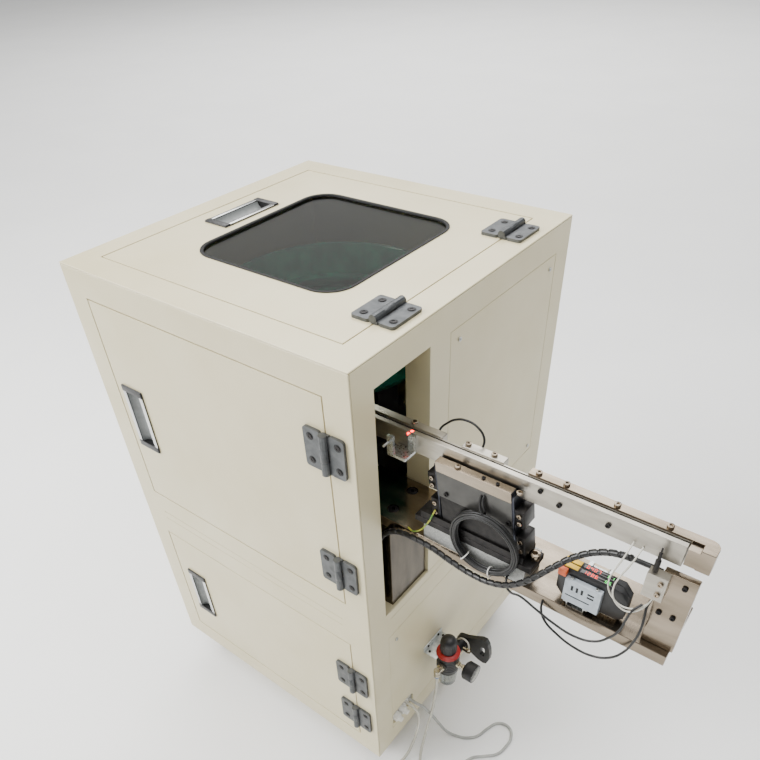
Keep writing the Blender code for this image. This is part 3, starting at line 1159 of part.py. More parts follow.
fuse(coil,
     rod("coil_arrival", (join_x, MAINS_COIL_Y + 0.010, lie), (join_x, join_y, lie), MAINS_R, sides=12),
     rod("coil_departure", (MAINS_COIL_X, plug_y, FLOOR + 0.009), (plug_x - FIT, plug_y, FLOOR + 0.009),
         MAINS_R, sides=12))
plug = box("power_plug", (plug_x + 0.022, plug_y - 0.019, FLOOR + 0.0002),
           (plug_x + 0.060, plug_y + 0.019, FLOOR + 0.026), BLACK, 0.004, 2)
fuse(plug,
     rod("plug_relief", (plug_x, plug_y, FLOOR + 0.009), (plug_x + 0.026, plug_y, FLOOR + 0.009),
         0.0042, sides=16, end_radius=0.008),
     rod("plug_pin_left", (plug_x + 0.056, plug_y - 0.0095, FLOOR + 0.013),
         (plug_x + 0.079, plug_y - 0.0095, FLOOR + 0.013), 0.0024, sides=12),
     rod("plug_pin_right", (plug_x + 0.056, plug_y + 0.0095, FLOOR + 0.013),
         (plug_x + 0.079, plug_y + 0.0095, FLOOR + 0.013), 0.0024, sides=12))

air_lie = FLOOR + AIR_R + FIT
tube_z = PORT_Z - ELBOW_DROP - FIT
cord("air_tube",
     [(reg_x, elbow_y, tube_z), (reg_x, elbow_y, tube_z - 0.020), (0.6455, 0.1400, 0.0980),
      (0.6470, 0.1260, 0.0530), (0.6440, 0.1150, 0.0080), (0.6415, 0.1060, -0.0360), (0.6415, 0.0950, -0.0680),
      (0.6500, 0.0780, air_lie), (0.6620, 0.0600, air_lie), (0.6680, 0.0380, air_lie),
      (0.6640, 0.0120, air_lie), (0.6480, -0.0050, air_lie), (0.6270, -0.0010, air_lie), (0.6165, 0.0170, air_lie),
      (0.6150, 0.0410, air_lie),
      (0.6195, 0.0670, -0.0760), (0.6225, 0.0865, -0.0520), (0.6280, 0.0960, -0.0100), (0.6320, 0.0995, 0.0300),
      (0.6325, 0.0990, 0.0620), (0.6308, 0.0990, 0.0708), (0.6258, 0.0990, 0.0783), (0.6183, 0.0990, 0.0833),
      (0.6095, 0.0990, 0.0850), (0.6030, 0.0990, 0.0850), (plate_x1 + FIT, 0.0990, 0.0850)],
     AIR_R, WHITE, 2, 4.0)

cord("cable_loom",
     [(0.574, 0.060, DECK_TOP + FIT), (0.574, 0.060, 0.470), (0.574, 0.060, 0.530), (0.578, 0.061, 0.578),
      (0.590, 0.064, 0.612), (0.612, 0.0665, 0.630), (0.642, 0.067, 0.6355), (0.680, 0.066, 0.635),
      (0.718, 0.064, 0.629), (0.755, 0.061, 0.628), (0.788, 0.058, 0.635), (0.818, 0.057, 0.652),
      (0.843, 0.061, 0.677), (0.866, 0.071, 0.706), (0.889, 0.082, 0.731), (0.915, 0.089, 0.749),
      (0.940, 0.090, 0.7590), (0.966, 0.0893, 0.7620), (END_X - FIT, 0.0893, 0.7622)],
     LOOM_R, BLACK, 2)

hank_y1 = DRIVE_Y - FIT
turned("cable_hank",
       [(HANK_R - HANK_W / 2, HANK_T - 0.003), (HANK_R - HANK_W / 2 + 0.003, HANK_T),
        (HANK_R + HANK_W / 2 - 0.003, HANK_T), (HANK_R + HANK_W / 2, HANK_T - 0.003),
        (HANK_R + HANK_W / 2, 0.003), (HANK_R + HANK_W / 2 - 0.003, 0.0),
        (HANK_R - HANK_W / 2 + 0.003, 0.0), (HANK_R - HANK_W / 2, 0.003)],
       (HANK_X, hank_y1, HANK_Z), 'Y', 24, BLACK, ring=True)
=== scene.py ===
# %% [markdown]
# # A vibratory bowl feeder in its cabinet
# The feeder shakes small parts up a ledge inside a round bowl and passes them to a straight track, which
# shakes them on to the next machine. A welded sheet-steel cabinet on four levelling casters holds the bowl;
# an arm through a slot in its side carries the track. The solids are already modelled, so this lesson
# gives them their finishes and adds what a solid leaves out: cords, screws, seals, dials and small wires.
# We begin with the fixed frame, because every later piece takes its place from it.

# %% Load the fixed frame
import math

import bmesh
import bpy
from mathutils import Euler, Matrix, Vector


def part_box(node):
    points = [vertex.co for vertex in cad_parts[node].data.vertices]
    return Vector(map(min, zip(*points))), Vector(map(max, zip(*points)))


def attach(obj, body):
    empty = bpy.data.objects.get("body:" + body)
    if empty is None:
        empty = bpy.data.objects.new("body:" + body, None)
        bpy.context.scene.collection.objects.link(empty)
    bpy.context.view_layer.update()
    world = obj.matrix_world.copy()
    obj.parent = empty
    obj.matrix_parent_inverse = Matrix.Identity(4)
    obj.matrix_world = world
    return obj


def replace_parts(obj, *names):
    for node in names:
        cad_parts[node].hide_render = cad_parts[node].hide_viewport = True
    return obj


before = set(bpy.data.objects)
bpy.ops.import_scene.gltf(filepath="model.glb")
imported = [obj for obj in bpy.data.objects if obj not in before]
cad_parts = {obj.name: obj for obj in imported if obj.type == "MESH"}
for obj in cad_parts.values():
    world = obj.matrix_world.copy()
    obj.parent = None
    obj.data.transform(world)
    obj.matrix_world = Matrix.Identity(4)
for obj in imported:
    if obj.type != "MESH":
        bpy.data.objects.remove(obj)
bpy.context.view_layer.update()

MM = 0.001
CORNER = Vector(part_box("front_frame")[0])
print("cabinet's front left bottom corner", [round(v, 4) for v in CORNER])


# %% A place in the cabinet's own millimetres
def at(x, y, z):
    """The point this many millimetres right of, behind and above the cabinet's front left bottom corner."""
    return CORNER + Vector((x, y, z)) * MM


def edges_of(name):
    """A node's lowest and highest corners, in the same millimetres as at()."""
    return [(Vector(corner) - CORNER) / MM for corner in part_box(name)]


FLOOR_Z = -CORNER.z / MM
arm_plate = [[round(v) for v in corner] for corner in edges_of("arm_base_plate")]
print("floor", round(FLOOR_Z, 1), "mm; arm plate", arm_plate)

# %% [markdown]
# ## Camera
# The photograph looks down at the cabinet's front right corner from a person's height. Upright edges
# run together towards the floor, so the camera is tilted and not only shifted. Its place and its turn were
# worked out from the cabinet's straight edges, and a small shift frames the picture as it was cropped.

# %% The camera at the photograph's angle
CAMERA_AT = (1074.2, -527.1, 1379.1)
CAMERA_RIGHT = Vector((0.79348, 0.60727, -0.04009))
CAMERA_DOWN = Vector((0.38939, -0.55720, -0.73342))
CAMERA_AHEAD = Vector((-0.46772, 0.56634, -0.67859))
FOCAL_MM = 32.444
SHIFT_UP = 0.1664
lens = bpy.data.cameras.new("camera")
lens.lens = FOCAL_MM
lens.sensor_width = 36.0
lens.shift_y = SHIFT_UP
camera = bpy.data.objects.new("camera", lens)
bpy.context.scene.collection.objects.link(camera)
turn = Matrix((CAMERA_RIGHT, -CAMERA_DOWN, -CAMERA_AHEAD)).transposed().to_4x4()
camera.matrix_world = Matrix.Translation(at(*CAMERA_AT)) @ turn
bpy.context.scene.camera = camera
print("camera at", [round(v, 3) for v in camera.matrix_world.translation])

# %% [markdown]
# ## Colours and nodes
# A finish is easier to check against a paint chart when its colour is written as a hex value. One function
# turns such a value into the linear numbers that the renderer adds up, and one function adds a node with
# its settings and links. Everything else about a finish is said where that finish is made.


# %% Hex colours and one way to add a node
def linear(hex_colour):
    """An sRGB hex colour as linear red, green, blue and alpha."""
    parts = [int(hex_colour[i:i + 2], 16) / 255 for i in (1, 3, 5)]
    return [c / 12.92 if c <= 0.04045 else ((c + 0.055) / 1.055) ** 2.4 for c in parts] + [1.0]


def add(tree, kind, settings=None, links=None):
    """A node with its settings, and with links from other nodes' outputs to its inputs."""
    made = tree.nodes.new("ShaderNode" + kind)
    for key, value in (settings or {}).items():
        if hasattr(made, key):
            setattr(made, key, value)
        else:
            made.inputs[key].default_value = value
    for key, (source, output) in (links or {}).items():
        tree.links.new(source.outputs[output], made.inputs[key])
    return made


def new_finish(name, colour, roughness, metallic=0.0, **sockets):
    """A Principled finish; further sockets are named with underscores for spaces."""
    paint = bpy.data.materials.new(name)
    paint.use_nodes = True
    shader = paint.node_tree.nodes["Principled BSDF"]
    shader.inputs["Base Color"].default_value = linear(colour)
    shader.inputs["Roughness"].default_value = roughness
    shader.inputs["Metallic"].default_value = metallic
    for key, value in sockets.items():
        shader.inputs[key.replace("_", " ")].default_value = value
    return paint


def surface_noise(paint, size_mm, stretch=(1.0, 1.0, 1.0), detail=3.0):
    """Noise on object coordinates whose grains are about size_mm across, longer where stretch is small."""
    tree = paint.node_tree
    place = add(tree, "TexCoord")
    scaled = add(tree, "Mapping", {"Scale": stretch}, {"Vector": (place, "Object")})
    return add(tree, "TexNoise", {"Scale": 1.0 / (size_mm * MM), "Detail": detail, "Roughness": 0.55},
               {"Vector": (scaled, "Vector")})


def mottle(paint, low_colour, high_colour, size_mm, stretch=(1.0, 1.0, 1.0), spread=0.18):
    """Colour that drifts between two values over the surface."""
    tree = paint.node_tree
    noise = surface_noise(paint, size_mm, stretch)
    ramp = add(tree, "ValToRGB", None, {"Fac": (noise, "Fac")})
    ramp.color_ramp.elements[0].position = 0.5 - spread
    ramp.color_ramp.elements[0].color = linear(low_colour)
    ramp.color_ramp.elements[1].position = 0.5 + spread
    ramp.color_ramp.elements[1].color = linear(high_colour)
    tree.links.new(ramp.outputs["Color"], tree.nodes["Principled BSDF"].inputs["Base Color"])


def relief(paint, size_mm, height_mm, stretch=(1.0, 1.0, 1.0), strength=1.0):
    """A bump whose grains are size_mm across and height_mm high."""
    tree = paint.node_tree
    noise = surface_noise(paint, size_mm, stretch)
    bump = add(tree, "Bump", {"Distance": height_mm * MM, "Strength": strength}, {"Height": (noise, "Fac")})
    tree.links.new(bump.outputs["Normal"], tree.nodes["Principled BSDF"].inputs["Normal"])


def uneven_gloss(paint, low, high, size_mm, stretch=(1.0, 1.0, 1.0)):
    """Roughness that drifts between two values, as handling and wiping leave it."""
    tree = paint.node_tree
    noise = surface_noise(paint, size_mm, stretch)
    span = add(tree, "MapRange", {"From Min": 0.3, "From Max": 0.7, "To Min": low, "To Max": high},
               {"Value": (noise, "Fac")})
    tree.links.new(span.outputs["Result"], tree.nodes["Principled BSDF"].inputs["Roughness"])


print("mid grey in linear light", round(linear("#808080")[0], 3))

# %% [markdown]
# ## Finishes of the cabinet
# The cabinet is folded mild steel with a baked polyester powder coat in a warm beige. Powder flows out
# almost flat and leaves a soft orange peel of about 2 mm, with a half gloss that hands and cloths dull
# unevenly. The hinges are die-cast zinc under a grey lacquer, and the pane is clear acrylic sheet.

# %% Cabinet finishes
# Powder coat: a fine, soft waviness breaks up reflections, and the beige drifts by a shade or two
beige_powder = new_finish("powder_coated_steel_beige", "#CCC19C", 0.36, Coat_Weight=0.15, Coat_Roughness=0.25)
mottle(beige_powder, "#C9BE98", "#CFC5A2", 160.0)
relief(beige_powder, 2.2, 0.035)
uneven_gloss(beige_powder, 0.30, 0.44, 90.0)
# Die-cast zinc with grey lacquer: a matt metal with slight casting texture
cast_zinc = new_finish("lacquered_zinc_casting", "#505253", 0.40, 0.7)
mottle(cast_zinc, "#484A4B", "#5B5D5E", 14.0)
relief(cast_zinc, 0.9, 0.02)
uneven_gloss(cast_zinc, 0.36, 0.52, 12.0)
# Acrylic sheet: clear with a faint grey, polished, with wiping haze in its gloss
clear_acrylic = new_finish("clear_acrylic_sheet", "#C4C6BB", 0.03, IOR=1.49, Transmission_Weight=1.0)
uneven_gloss(clear_acrylic, 0.01, 0.03, 70.0)
# Moulded ABS: black, with a fine spark-eroded grain
black_abs = new_finish("moulded_black_abs", "#101011", 0.42)
mottle(black_abs, "#0D0D0E", "#151516", 8.0)
relief(black_abs, 0.6, 0.02)
# Grey moulded channel of the recessed handles
grey_abs = new_finish("moulded_grey_abs", "#7C7F7E", 0.40)
mottle(grey_abs, "#757877", "#838685", 10.0)
relief(grey_abs, 0.7, 0.015)
# Cellular rubber seal: matt black with open pores
seal_rubber = new_finish("cellular_rubber_seal", "#141414", 0.85)
mottle(seal_rubber, "#101010", "#1B1B1A", 2.0)
relief(seal_rubber, 0.8, 0.06)
print("cabinet finishes made")

# %% [markdown]
# ## Finishes of the arm and the drive
# The arm plate, the track and its clamps are ground steel with a bright nickel plate. Their warm brown colour
# is partly the nickel's own tint and partly a painted reflection of a dark room. The drive is black-oxided
# steel and grey stove enamel, with leaf springs of blued spring steel. The riser under it is bead-blasted
# aluminium with the small pits that blasting leaves.

# %% Arm and drive finishes
# Nickel plate on ground steel: mirror-like with faint lines along the grinding direction; its dark warm brown
# base colour is partly the nickel's tint and partly a painted reflection of a dark room
bright_nickel = new_finish("nickel_plated_ground_steel", "#877B6B", 0.20, 1.0)
mottle(bright_nickel, "#766B5C", "#9B8F7F", 30.0, (0.25, 1.0, 1.0))
relief(bright_nickel, 0.7, 0.004, (0.04, 1.0, 1.0))
uneven_gloss(bright_nickel, 0.14, 0.28, 24.0, (0.2, 1.0, 1.0))
# A darker copy of the nickel for the post: the slot's shade and the dark inside of the cabinet that it mirrors
# are painted into its colour, as painted shade and painted reflection
painted_shade_nickel = new_finish("nickel_plate_painted_shade", "#4B443A", 0.24, 1.0)
mottle(painted_shade_nickel, "#3E382F", "#5A5246", 26.0, (1.0, 1.0, 0.3))
relief(painted_shade_nickel, 0.7, 0.004, (1.0, 1.0, 0.04))
# Satin steel: the same steel, ground coarser, unplated
satin_steel = new_finish("ground_steel_satin", "#A5A094", 0.32, 1.0)
mottle(satin_steel, "#99948A", "#B1ACA1", 18.0, (0.25, 1.0, 1.0))
relief(satin_steel, 0.8, 0.008, (0.04, 1.0, 1.0))
uneven_gloss(satin_steel, 0.26, 0.40, 15.0, (0.2, 1.0, 1.0))
# Bead-blasted aluminium: evenly pitted, so it scatters light without lines
blasted_aluminium = new_finish("bead_blasted_aluminium", "#A5A6A4", 0.55, 1.0)
mottle(blasted_aluminium, "#8F908E", "#B5B6B3", 2.4, spread=0.25)
relief(blasted_aluminium, 1.3, 0.10)
# Gunmetal enamel of the drive's moving top
gunmetal = new_finish("gunmetal_stove_enamel", "#454442", 0.34, 0.55)
mottle(gunmetal, "#3E3D3B", "#4E4D4A", 40.0)
relief(gunmetal, 1.5, 0.02)
uneven_gloss(gunmetal, 0.28, 0.42, 25.0)
# Black oxide on steel: dark, slightly oily sheen
black_oxide = new_finish("black_oxided_steel", "#232221", 0.38, 0.8)
mottle(black_oxide, "#1C1B1B", "#2D2B2A", 9.0)
relief(black_oxide, 0.8, 0.01)
# Zinc-plated screw heads and brackets
zinc_plate = new_finish("bright_zinc_plate", "#B9BBB9", 0.28, 1.0)
mottle(zinc_plate, "#A7A9A8", "#C6C8C5", 4.0)
uneven_gloss(zinc_plate, 0.22, 0.38, 3.0)
print("arm finishes made")

# %% [markdown]
# ## Finishes of the bowl, the electrics and the air parts
# The bowl is sprayed inside and out with a teal polyurethane, which is soft, quiet and kind to the parts.
# The amplifiers are black ABS boxes with seven-segment figures behind a dark window. The regulator is
# black nylon with a red collar and a clear grey polycarbonate cup, and its fittings are turned brass.

# %% Bowl, electric and air finishes
# Sprayed polyurethane: a fine pebble with a wet gloss
teal_coating = new_finish("sprayed_teal_polyurethane", "#1E7F6D", 0.28, Coat_Weight=0.3, Coat_Roughness=0.15)
mottle(teal_coating, "#17705F", "#2A917D", 30.0)
relief(teal_coating, 2.5, 0.10)
grey_enamel = new_finish("stove_enamel_grey", "#55575A", 0.42)
mottle(grey_enamel, "#4D4F52", "#5E6063", 30.0)
relief(grey_enamel, 1.6, 0.03)
pale_abs = new_finish("moulded_pale_blue_grey_abs", "#A3ABB2", 0.42)
mottle(pale_abs, "#9AA2A9", "#ADB5BB", 9.0)
relief(pale_abs, 0.6, 0.015)
red_nylon = new_finish("moulded_red_nylon", "#A3120F", 0.35)
mottle(red_nylon, "#960F0C", "#B01A15", 6.0)
relief(red_nylon, 0.8, 0.015)
# Polycarbonate cup: smoky and clear, slightly hazed inside
smoky_cup = new_finish("smoky_polycarbonate", "#9BA3A3", 0.12, IOR=1.58, Transmission_Weight=0.75)
uneven_gloss(smoky_cup, 0.08, 0.20, 8.0)
turned_brass = new_finish("nickel_plated_brass", "#C3BBA4", 0.24, 1.0)
mottle(turned_brass, "#B5A98A", "#CDC7B5", 5.0)
relief(turned_brass, 0.5, 0.006, (1.0, 1.0, 0.05))
white_nylon = new_finish("moulded_white_nylon", "#DEDDD6", 0.45)
mottle(white_nylon, "#D6D5CD", "#E4E3DD", 8.0)
relief(white_nylon, 0.8, 0.012)
dial_white = new_finish("printed_dial_card", "#E8E7DF", 0.55)
mottle(dial_white, "#E2E1D8", "#EDECE5", 12.0)
caster_tread = new_finish("caster_polyurethane_tread", "#34322F", 0.62)
mottle(caster_tread, "#2C2A27", "#45423D", 10.0)
relief(caster_tread, 1.2, 0.05)
red_brown = new_finish("moulded_red_brown_nylon", "#8A3B26", 0.45)
mottle(red_brown, "#7D3320", "#98452E", 7.0)
relief(red_brown, 0.9, 0.02)
print("bowl, electric and air finishes made")

# %% [markdown]
# ## Finishes of the cords
# The mains lead and the sensor leads have PVC jackets, which are matt and pick up dust. The air line is
# clear polyurethane tube: seen from outside it is a milky pale grey that lets a little light through.

# %% Cord finishes
grey_pvc = new_finish("pvc_jacket_grey", "#A7A8A3", 0.50)
mottle(grey_pvc, "#9D9E99", "#B0B1AC", 25.0)
relief(grey_pvc, 1.2, 0.02)
black_pvc = new_finish("pvc_jacket_black", "#0E0E0E", 0.42)
mottle(black_pvc, "#0B0B0B", "#161615", 20.0)
relief(black_pvc, 1.0, 0.02)
pale_tube = new_finish("polyurethane_tube_clear", "#D5D2C5", 0.22, IOR=1.50, Transmission_Weight=0.25)
mottle(pale_tube, "#CBC8BA", "#DEDBCF", 30.0)
relief(pale_tube, 2.0, 0.01)
spiral_wrap = new_finish("polyethylene_spiral_wrap", "#101010", 0.34)
mottle(spiral_wrap, "#0C0C0C", "#191918", 12.0)
relief(spiral_wrap, 1.5, 0.015)
print("cord finishes made")

# %% [markdown]
# ## Finishes on the solids
# Each solid keeps its mesh and takes a finish by having its material slots filled. A loop over a short
# table does that, because the shapes are right already and only their surfaces are missing.

# %% Put a finish on every solid
CABINET = ["front_frame", "right_side", "left_side", "back_wall", "top_frame", "bottom_plate", "deck_plate",
           "right_upper_panel", "right_lower_panel", "upper_door", "lower_door", "lid"]
HINGES = [f"{door}_hinge_{end}" for door in ("upper", "lower") for end in ("top", "bottom")]
CORNERS = [f"{end}_{side}" for end in ("front", "rear") for side in ("left", "right")]
FINISHES = [
    (beige_powder, CABINET),
    (cast_zinc, HINGES + ["lid_hinge_front", "lid_hinge_rear"]),
    (black_abs, ["upper_door_handle", "lower_door_handle", "lid_handle"]),
    (clear_acrylic, ["lid_window"]),
    (white_nylon, [f"caster_{c}_housing" for c in CORNERS]),
    (caster_tread, [f"caster_{c}_wheel" for c in CORNERS]),
    (red_brown, [f"caster_{c}_foot" for c in CORNERS]),
    (teal_coating, ["bowl"]),
    (grey_enamel, ["bowl_drive_top", "bowl_drive_base"]),
    (bright_nickel, ["arm_base_plate", "end_support", "track_head_plate"]),
    (painted_shade_nickel, ["arm_post"]),
    (satin_steel, ["track_front_rail", "track_rear_rail"]),
    (blasted_aluminium, ["drive_riser"]),
    (black_oxide, ["drive_base"]),
    (gunmetal, ["drive_top"]),
    (zinc_plate, ["sensor_fork"]),
    (black_abs, ["sensor_amplifiers", "regulator", "regulator_knob", "pressure_gauge",
                 "shutoff_valve", "shutoff_lever", "power_plug", "cable_hank"]),
    (white_nylon, ["cable_glands"]),
]
for finish, names in FINISHES:
    for name in names:
        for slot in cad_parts[name].material_slots:
            slot.material = finish
print("solids with a finish:", sum(len(names) for _, names in FINISHES), "of", len(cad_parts))

# %% [markdown]
# ## Helpers for modelling by hand
# New pieces are modelled as one would at the screen: a primitive at its size and place, a few faces picked
# and moved or extruded, and a bevel at the end. The helpers only save repeating the selecting, which
# matters here because an operator acts on everything that is selected.


# %% Selecting, shaping and finishing
def start_clean():
    """Object mode with nothing selected."""
    if bpy.context.object and bpy.context.object.mode != 'OBJECT':
        bpy.ops.object.mode_set(mode='OBJECT')
    bpy.ops.object.select_all(action='DESELECT')


def activate(piece):
    """Only this piece selected and active."""
    start_clean()
    piece.select_set(True)
    bpy.context.view_layer.objects.active = piece


def settle(piece):
    """The piece's place, turn and size go into its mesh."""
    activate(piece)
    bpy.ops.object.transform_apply(location=True, rotation=True, scale=True)
    return piece


def block(name, low, high):
    """A block between two corners given in cabinet millimetres."""
    start_clean()
    one, two = at(*low), at(*high)
    bpy.ops.mesh.primitive_cube_add(size=1.0, location=(one + two) / 2, scale=two - one)
    piece = bpy.context.object
    piece.name = name
    return settle(piece)


AXES = {'X': (0.0, math.pi / 2, 0.0), 'Y': (-math.pi / 2, 0.0, 0.0), 'Z': (0.0, 0.0, 0.0),
        '-Y': (math.pi / 2, 0.0, 0.0)}


def pick_faces(piece, test):
    """Edit mode with only the faces selected whose centre and normal pass a test."""
    activate(piece)
    bpy.ops.object.mode_set(mode='EDIT')
    bpy.ops.mesh.select_all(action='DESELECT')
    bpy.ops.mesh.select_mode(type='FACE')
    shape = bmesh.from_edit_mesh(piece.data)
    shape.faces.ensure_lookup_table()
    for face in shape.faces:
        face.select_set(test(face.calc_center_median(), face.normal))
    bmesh.update_edit_mesh(piece.data)


def soften(piece, width_mm, steps=2):
    """Round every edge a little, then shade by angle."""
    activate(piece)
    rounding = piece.modifiers.new("rounding", 'BEVEL')
    rounding.width = width_mm * MM
    rounding.segments = steps
    rounding.limit_method = 'ANGLE'
    rounding.angle_limit = math.radians(35)
    bpy.ops.object.modifier_apply(modifier=rounding.name)
    bpy.ops.object.shade_smooth_by_angle(angle=math.radians(35))


def complete(piece, finish, body):
    """The finish and the body it moves with."""
    piece.data.materials.clear()
    piece.data.materials.append(finish)
    for face in piece.data.polygons:
        face.material_index = 0
    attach(piece, body)
    return piece


def copy_to(template, matrix, name):
    """A copy with its own mesh, moved by a matrix of the fixed frame."""
    twin = template.copy()
    twin.data = template.data.copy()
    twin.data.transform(matrix)
    twin.name = name
    bpy.context.scene.collection.objects.link(twin)
    return twin


def join_as(pieces, name):
    """Several meshes as one piece."""
    start_clean()
    for piece in pieces:
        piece.select_set(True)
    bpy.context.view_layer.objects.active = pieces[0]
    if len(pieces) > 1:
        bpy.ops.object.join()
    joined = bpy.context.object
    joined.name = name
    return joined


# %% [markdown]
# ## Cords
# A cord is a fixed length of something flexible, so its facts come before its shape: where it leaves, how
# thick and stiff it is, how long, and what is on its end. Each route is a list of given points,
# on one smooth curve, and the length that the photograph doesn't show is wound into a neat coil.


# %% One smooth curve through chosen points
def strand(name, route, diameter_mm, finish, round_steps=3, fineness=5):
    """A tube along a smooth curve through points given in cabinet millimetres."""
    shape = bpy.data.curves.new(name, 'CURVE')
    shape.dimensions = '3D'
    shape.bevel_depth = diameter_mm * MM / 2
    shape.bevel_resolution = round_steps
    shape.resolution_u = fineness
    shape.use_fill_caps = True
    line = shape.splines.new('BEZIER')
    line.bezier_points.add(len(route) - 1)
    for point, where in zip(line.bezier_points, route):
        point.co = at(*where)
        point.handle_left_type = 'AUTO'
        point.handle_right_type = 'AUTO'
    piece = bpy.data.objects.new(name, shape)
    bpy.context.scene.collection.objects.link(piece)
    shape.materials.append(finish)
    return piece


def ring_turns(centre, radii_and_heights, first_angle, direction, per_turn=14):
    """Points of a coil that lies flat, one turn for each pair of radius and height."""
    points = []
    count = len(radii_and_heights)
    for i in range(count * per_turn):
        turn_no, share = divmod(i, per_turn)
        share = share / per_turn
        here, there = radii_and_heights[turn_no], radii_and_heights[min(turn_no + 1, count - 1)]
        ease = share * share * (3 - 2 * share)
        radius = here[0] + (there[0] - here[0]) * ease
        height = here[1] + (there[1] - here[1]) * ease
        angle = math.radians(first_angle) + direction * 2 * math.pi * share
        points.append((centre[0] + radius * math.cos(angle), centre[1] + radius * math.sin(angle), height))
    return points


# %% Mains lead
# A three-core PVC lead of 6.5 mm. It leaves the panel beside the glands, drops to the floor, makes the open
# loop that the photograph shows, and its unseen length lies in a coil of six turns with its plug beside it.
MAINS_MM = 6.5
on_floor = FLOOR_Z + MAINS_MM / 2 + 0.3
mains_start = (597.2, 112.0, 80.0)
mains_route = [mains_start, (604, 112, 80), (617, 112, 80), (630, 116.5, 74), (636.5, 123, 57),
               (638.5, 132, 35), (641.5, 144.5, 1), (649.5, 157, -37), (663.5, 167, -69),
               (684, 177, on_floor), (704, 186, on_floor), (722, 205, on_floor), (731, 235, on_floor),
               (745, 261, on_floor), (768, 266, on_floor), (785, 248, on_floor), (787, 220, on_floor),
               (779.4, 191.6, on_floor), (759, 171, on_floor), (738.6, 150.5, on_floor), (731, 122, on_floor),
               (731, 90, on_floor)]
COIL_MID = (775.0, 60.0)
second = on_floor + MAINS_MM
turns = [(44.0, on_floor), (37.5, on_floor), (31.0, on_floor), (31.0, second), (37.5, second), (44.0, second)]
mains_route += ring_turns(COIL_MID, turns, 180.0, 1.0)[:-3]
mains_route += [(775, 17.2, second), (797, 17.5, second - 2.4), (823.2, 17.5, FLOOR_Z + 9)]
print("mains lead points", len(mains_route), "with", len(turns), "turns")

# %% Make the mains lead
mains_lead = strand("mains_lead", mains_route, MAINS_MM, grey_pvc)
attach(mains_lead, "cabinet")
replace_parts(mains_lead, "power_cable", "power_coil")

# %% [markdown]
# ## Air line
# A 6 mm polyurethane tube brings air from the cabinet to the regulator. It leaves the elbow straight down,
# lies in one loose loop on the floor and comes back up into the cable notch. Such tube is stiff, so its
# loop is wide.

# %% Make the air line
AIR_MM = 6.0
air_floor = FLOOR_Z + AIR_MM / 2 + 0.3
air_start = (643.0, 149.0, 157.7)
air_route = [air_start, (643, 149, 137.7), (645.5, 140, 98), (647, 126, 53), (644, 115, 8),
             (641.5, 106, -36), (641.5, 95, -68), (650, 78, air_floor), (662, 60, air_floor),
             (668, 38, air_floor), (664, 12, air_floor), (648, -5, air_floor), (627, -1, air_floor),
             (616.5, 17, air_floor), (615, 41, air_floor), (619.5, 67, -76), (622.5, 86.5, -52),
             (628, 96, -10), (632, 99.5, 30), (632.5, 99, 62), (630.8, 99, 70.8), (625.8, 99, 78.3),
             (618.3, 99, 83.3), (609.5, 99, 85), (603, 99, 85), (597.3, 99, 85)]
air_line = strand("air_line", air_route, AIR_MM, pale_tube)
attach(air_line, "cabinet")
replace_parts(air_line, "air_tube")

# %% [markdown]
# ## Spiral-wrapped bundle
# The sensor leads leave the slot together and run along the arm to its end in a bundle that is held by a
# ribbon of black polyethylene wound round it. The bundle and its ribbon are one tube on the bundle's smooth
# route, whose radius steps up along a helix, so the turns stand out in its outline as the real ones do.

# %% Route of the bundle and its winding
LOOM_MM = 7.6
WRAP_PITCH = 13.0
WRAPPED_SHARE = 0.74
loom_start = (574.0, 60.0, 430.3)
loom_route = [loom_start, (574, 60, 470), (574, 60, 530), (578, 61, 578), (590, 64, 612), (612, 66.5, 630),
              (642, 67, 635.5), (680, 66, 635), (718, 64, 629), (755, 61, 628), (788, 58, 635),
              (818, 57, 652), (843, 61, 677), (866, 71, 706), (889, 82, 731), (915, 89, 749),
              (940, 90, 759), (966, 89.3, 762), (992.7, 89.3, 762.2)]
loom = strand("sensor_loom", loom_route, LOOM_MM, black_pvc)


def along(curve_piece, spacing):
    """Evenly spaced points and directions on a strand's own centreline, in the fixed frame."""
    line = curve_piece.data.splines[0]
    fine = []
    points = line.bezier_points
    for a, b in zip(points, points[1:]):
        for k in range(16):
            t = k / 16
            s = 1 - t
            fine.append(a.co * s ** 3 + a.handle_right * 3 * s * s * t + b.handle_left * 3 * s * t * t
                        + b.co * t ** 3)
    fine.append(points[-1].co.copy())
    out = [fine[0].copy()]
    carried = 0.0
    for a, b in zip(fine, fine[1:]):
        run = (b - a).length
        while carried + run >= spacing:
            a = a.lerp(b, (spacing - carried) / run)
            out.append(a.copy())
            run = (b - a).length
            carried = 0.0
        carried += run
    return out


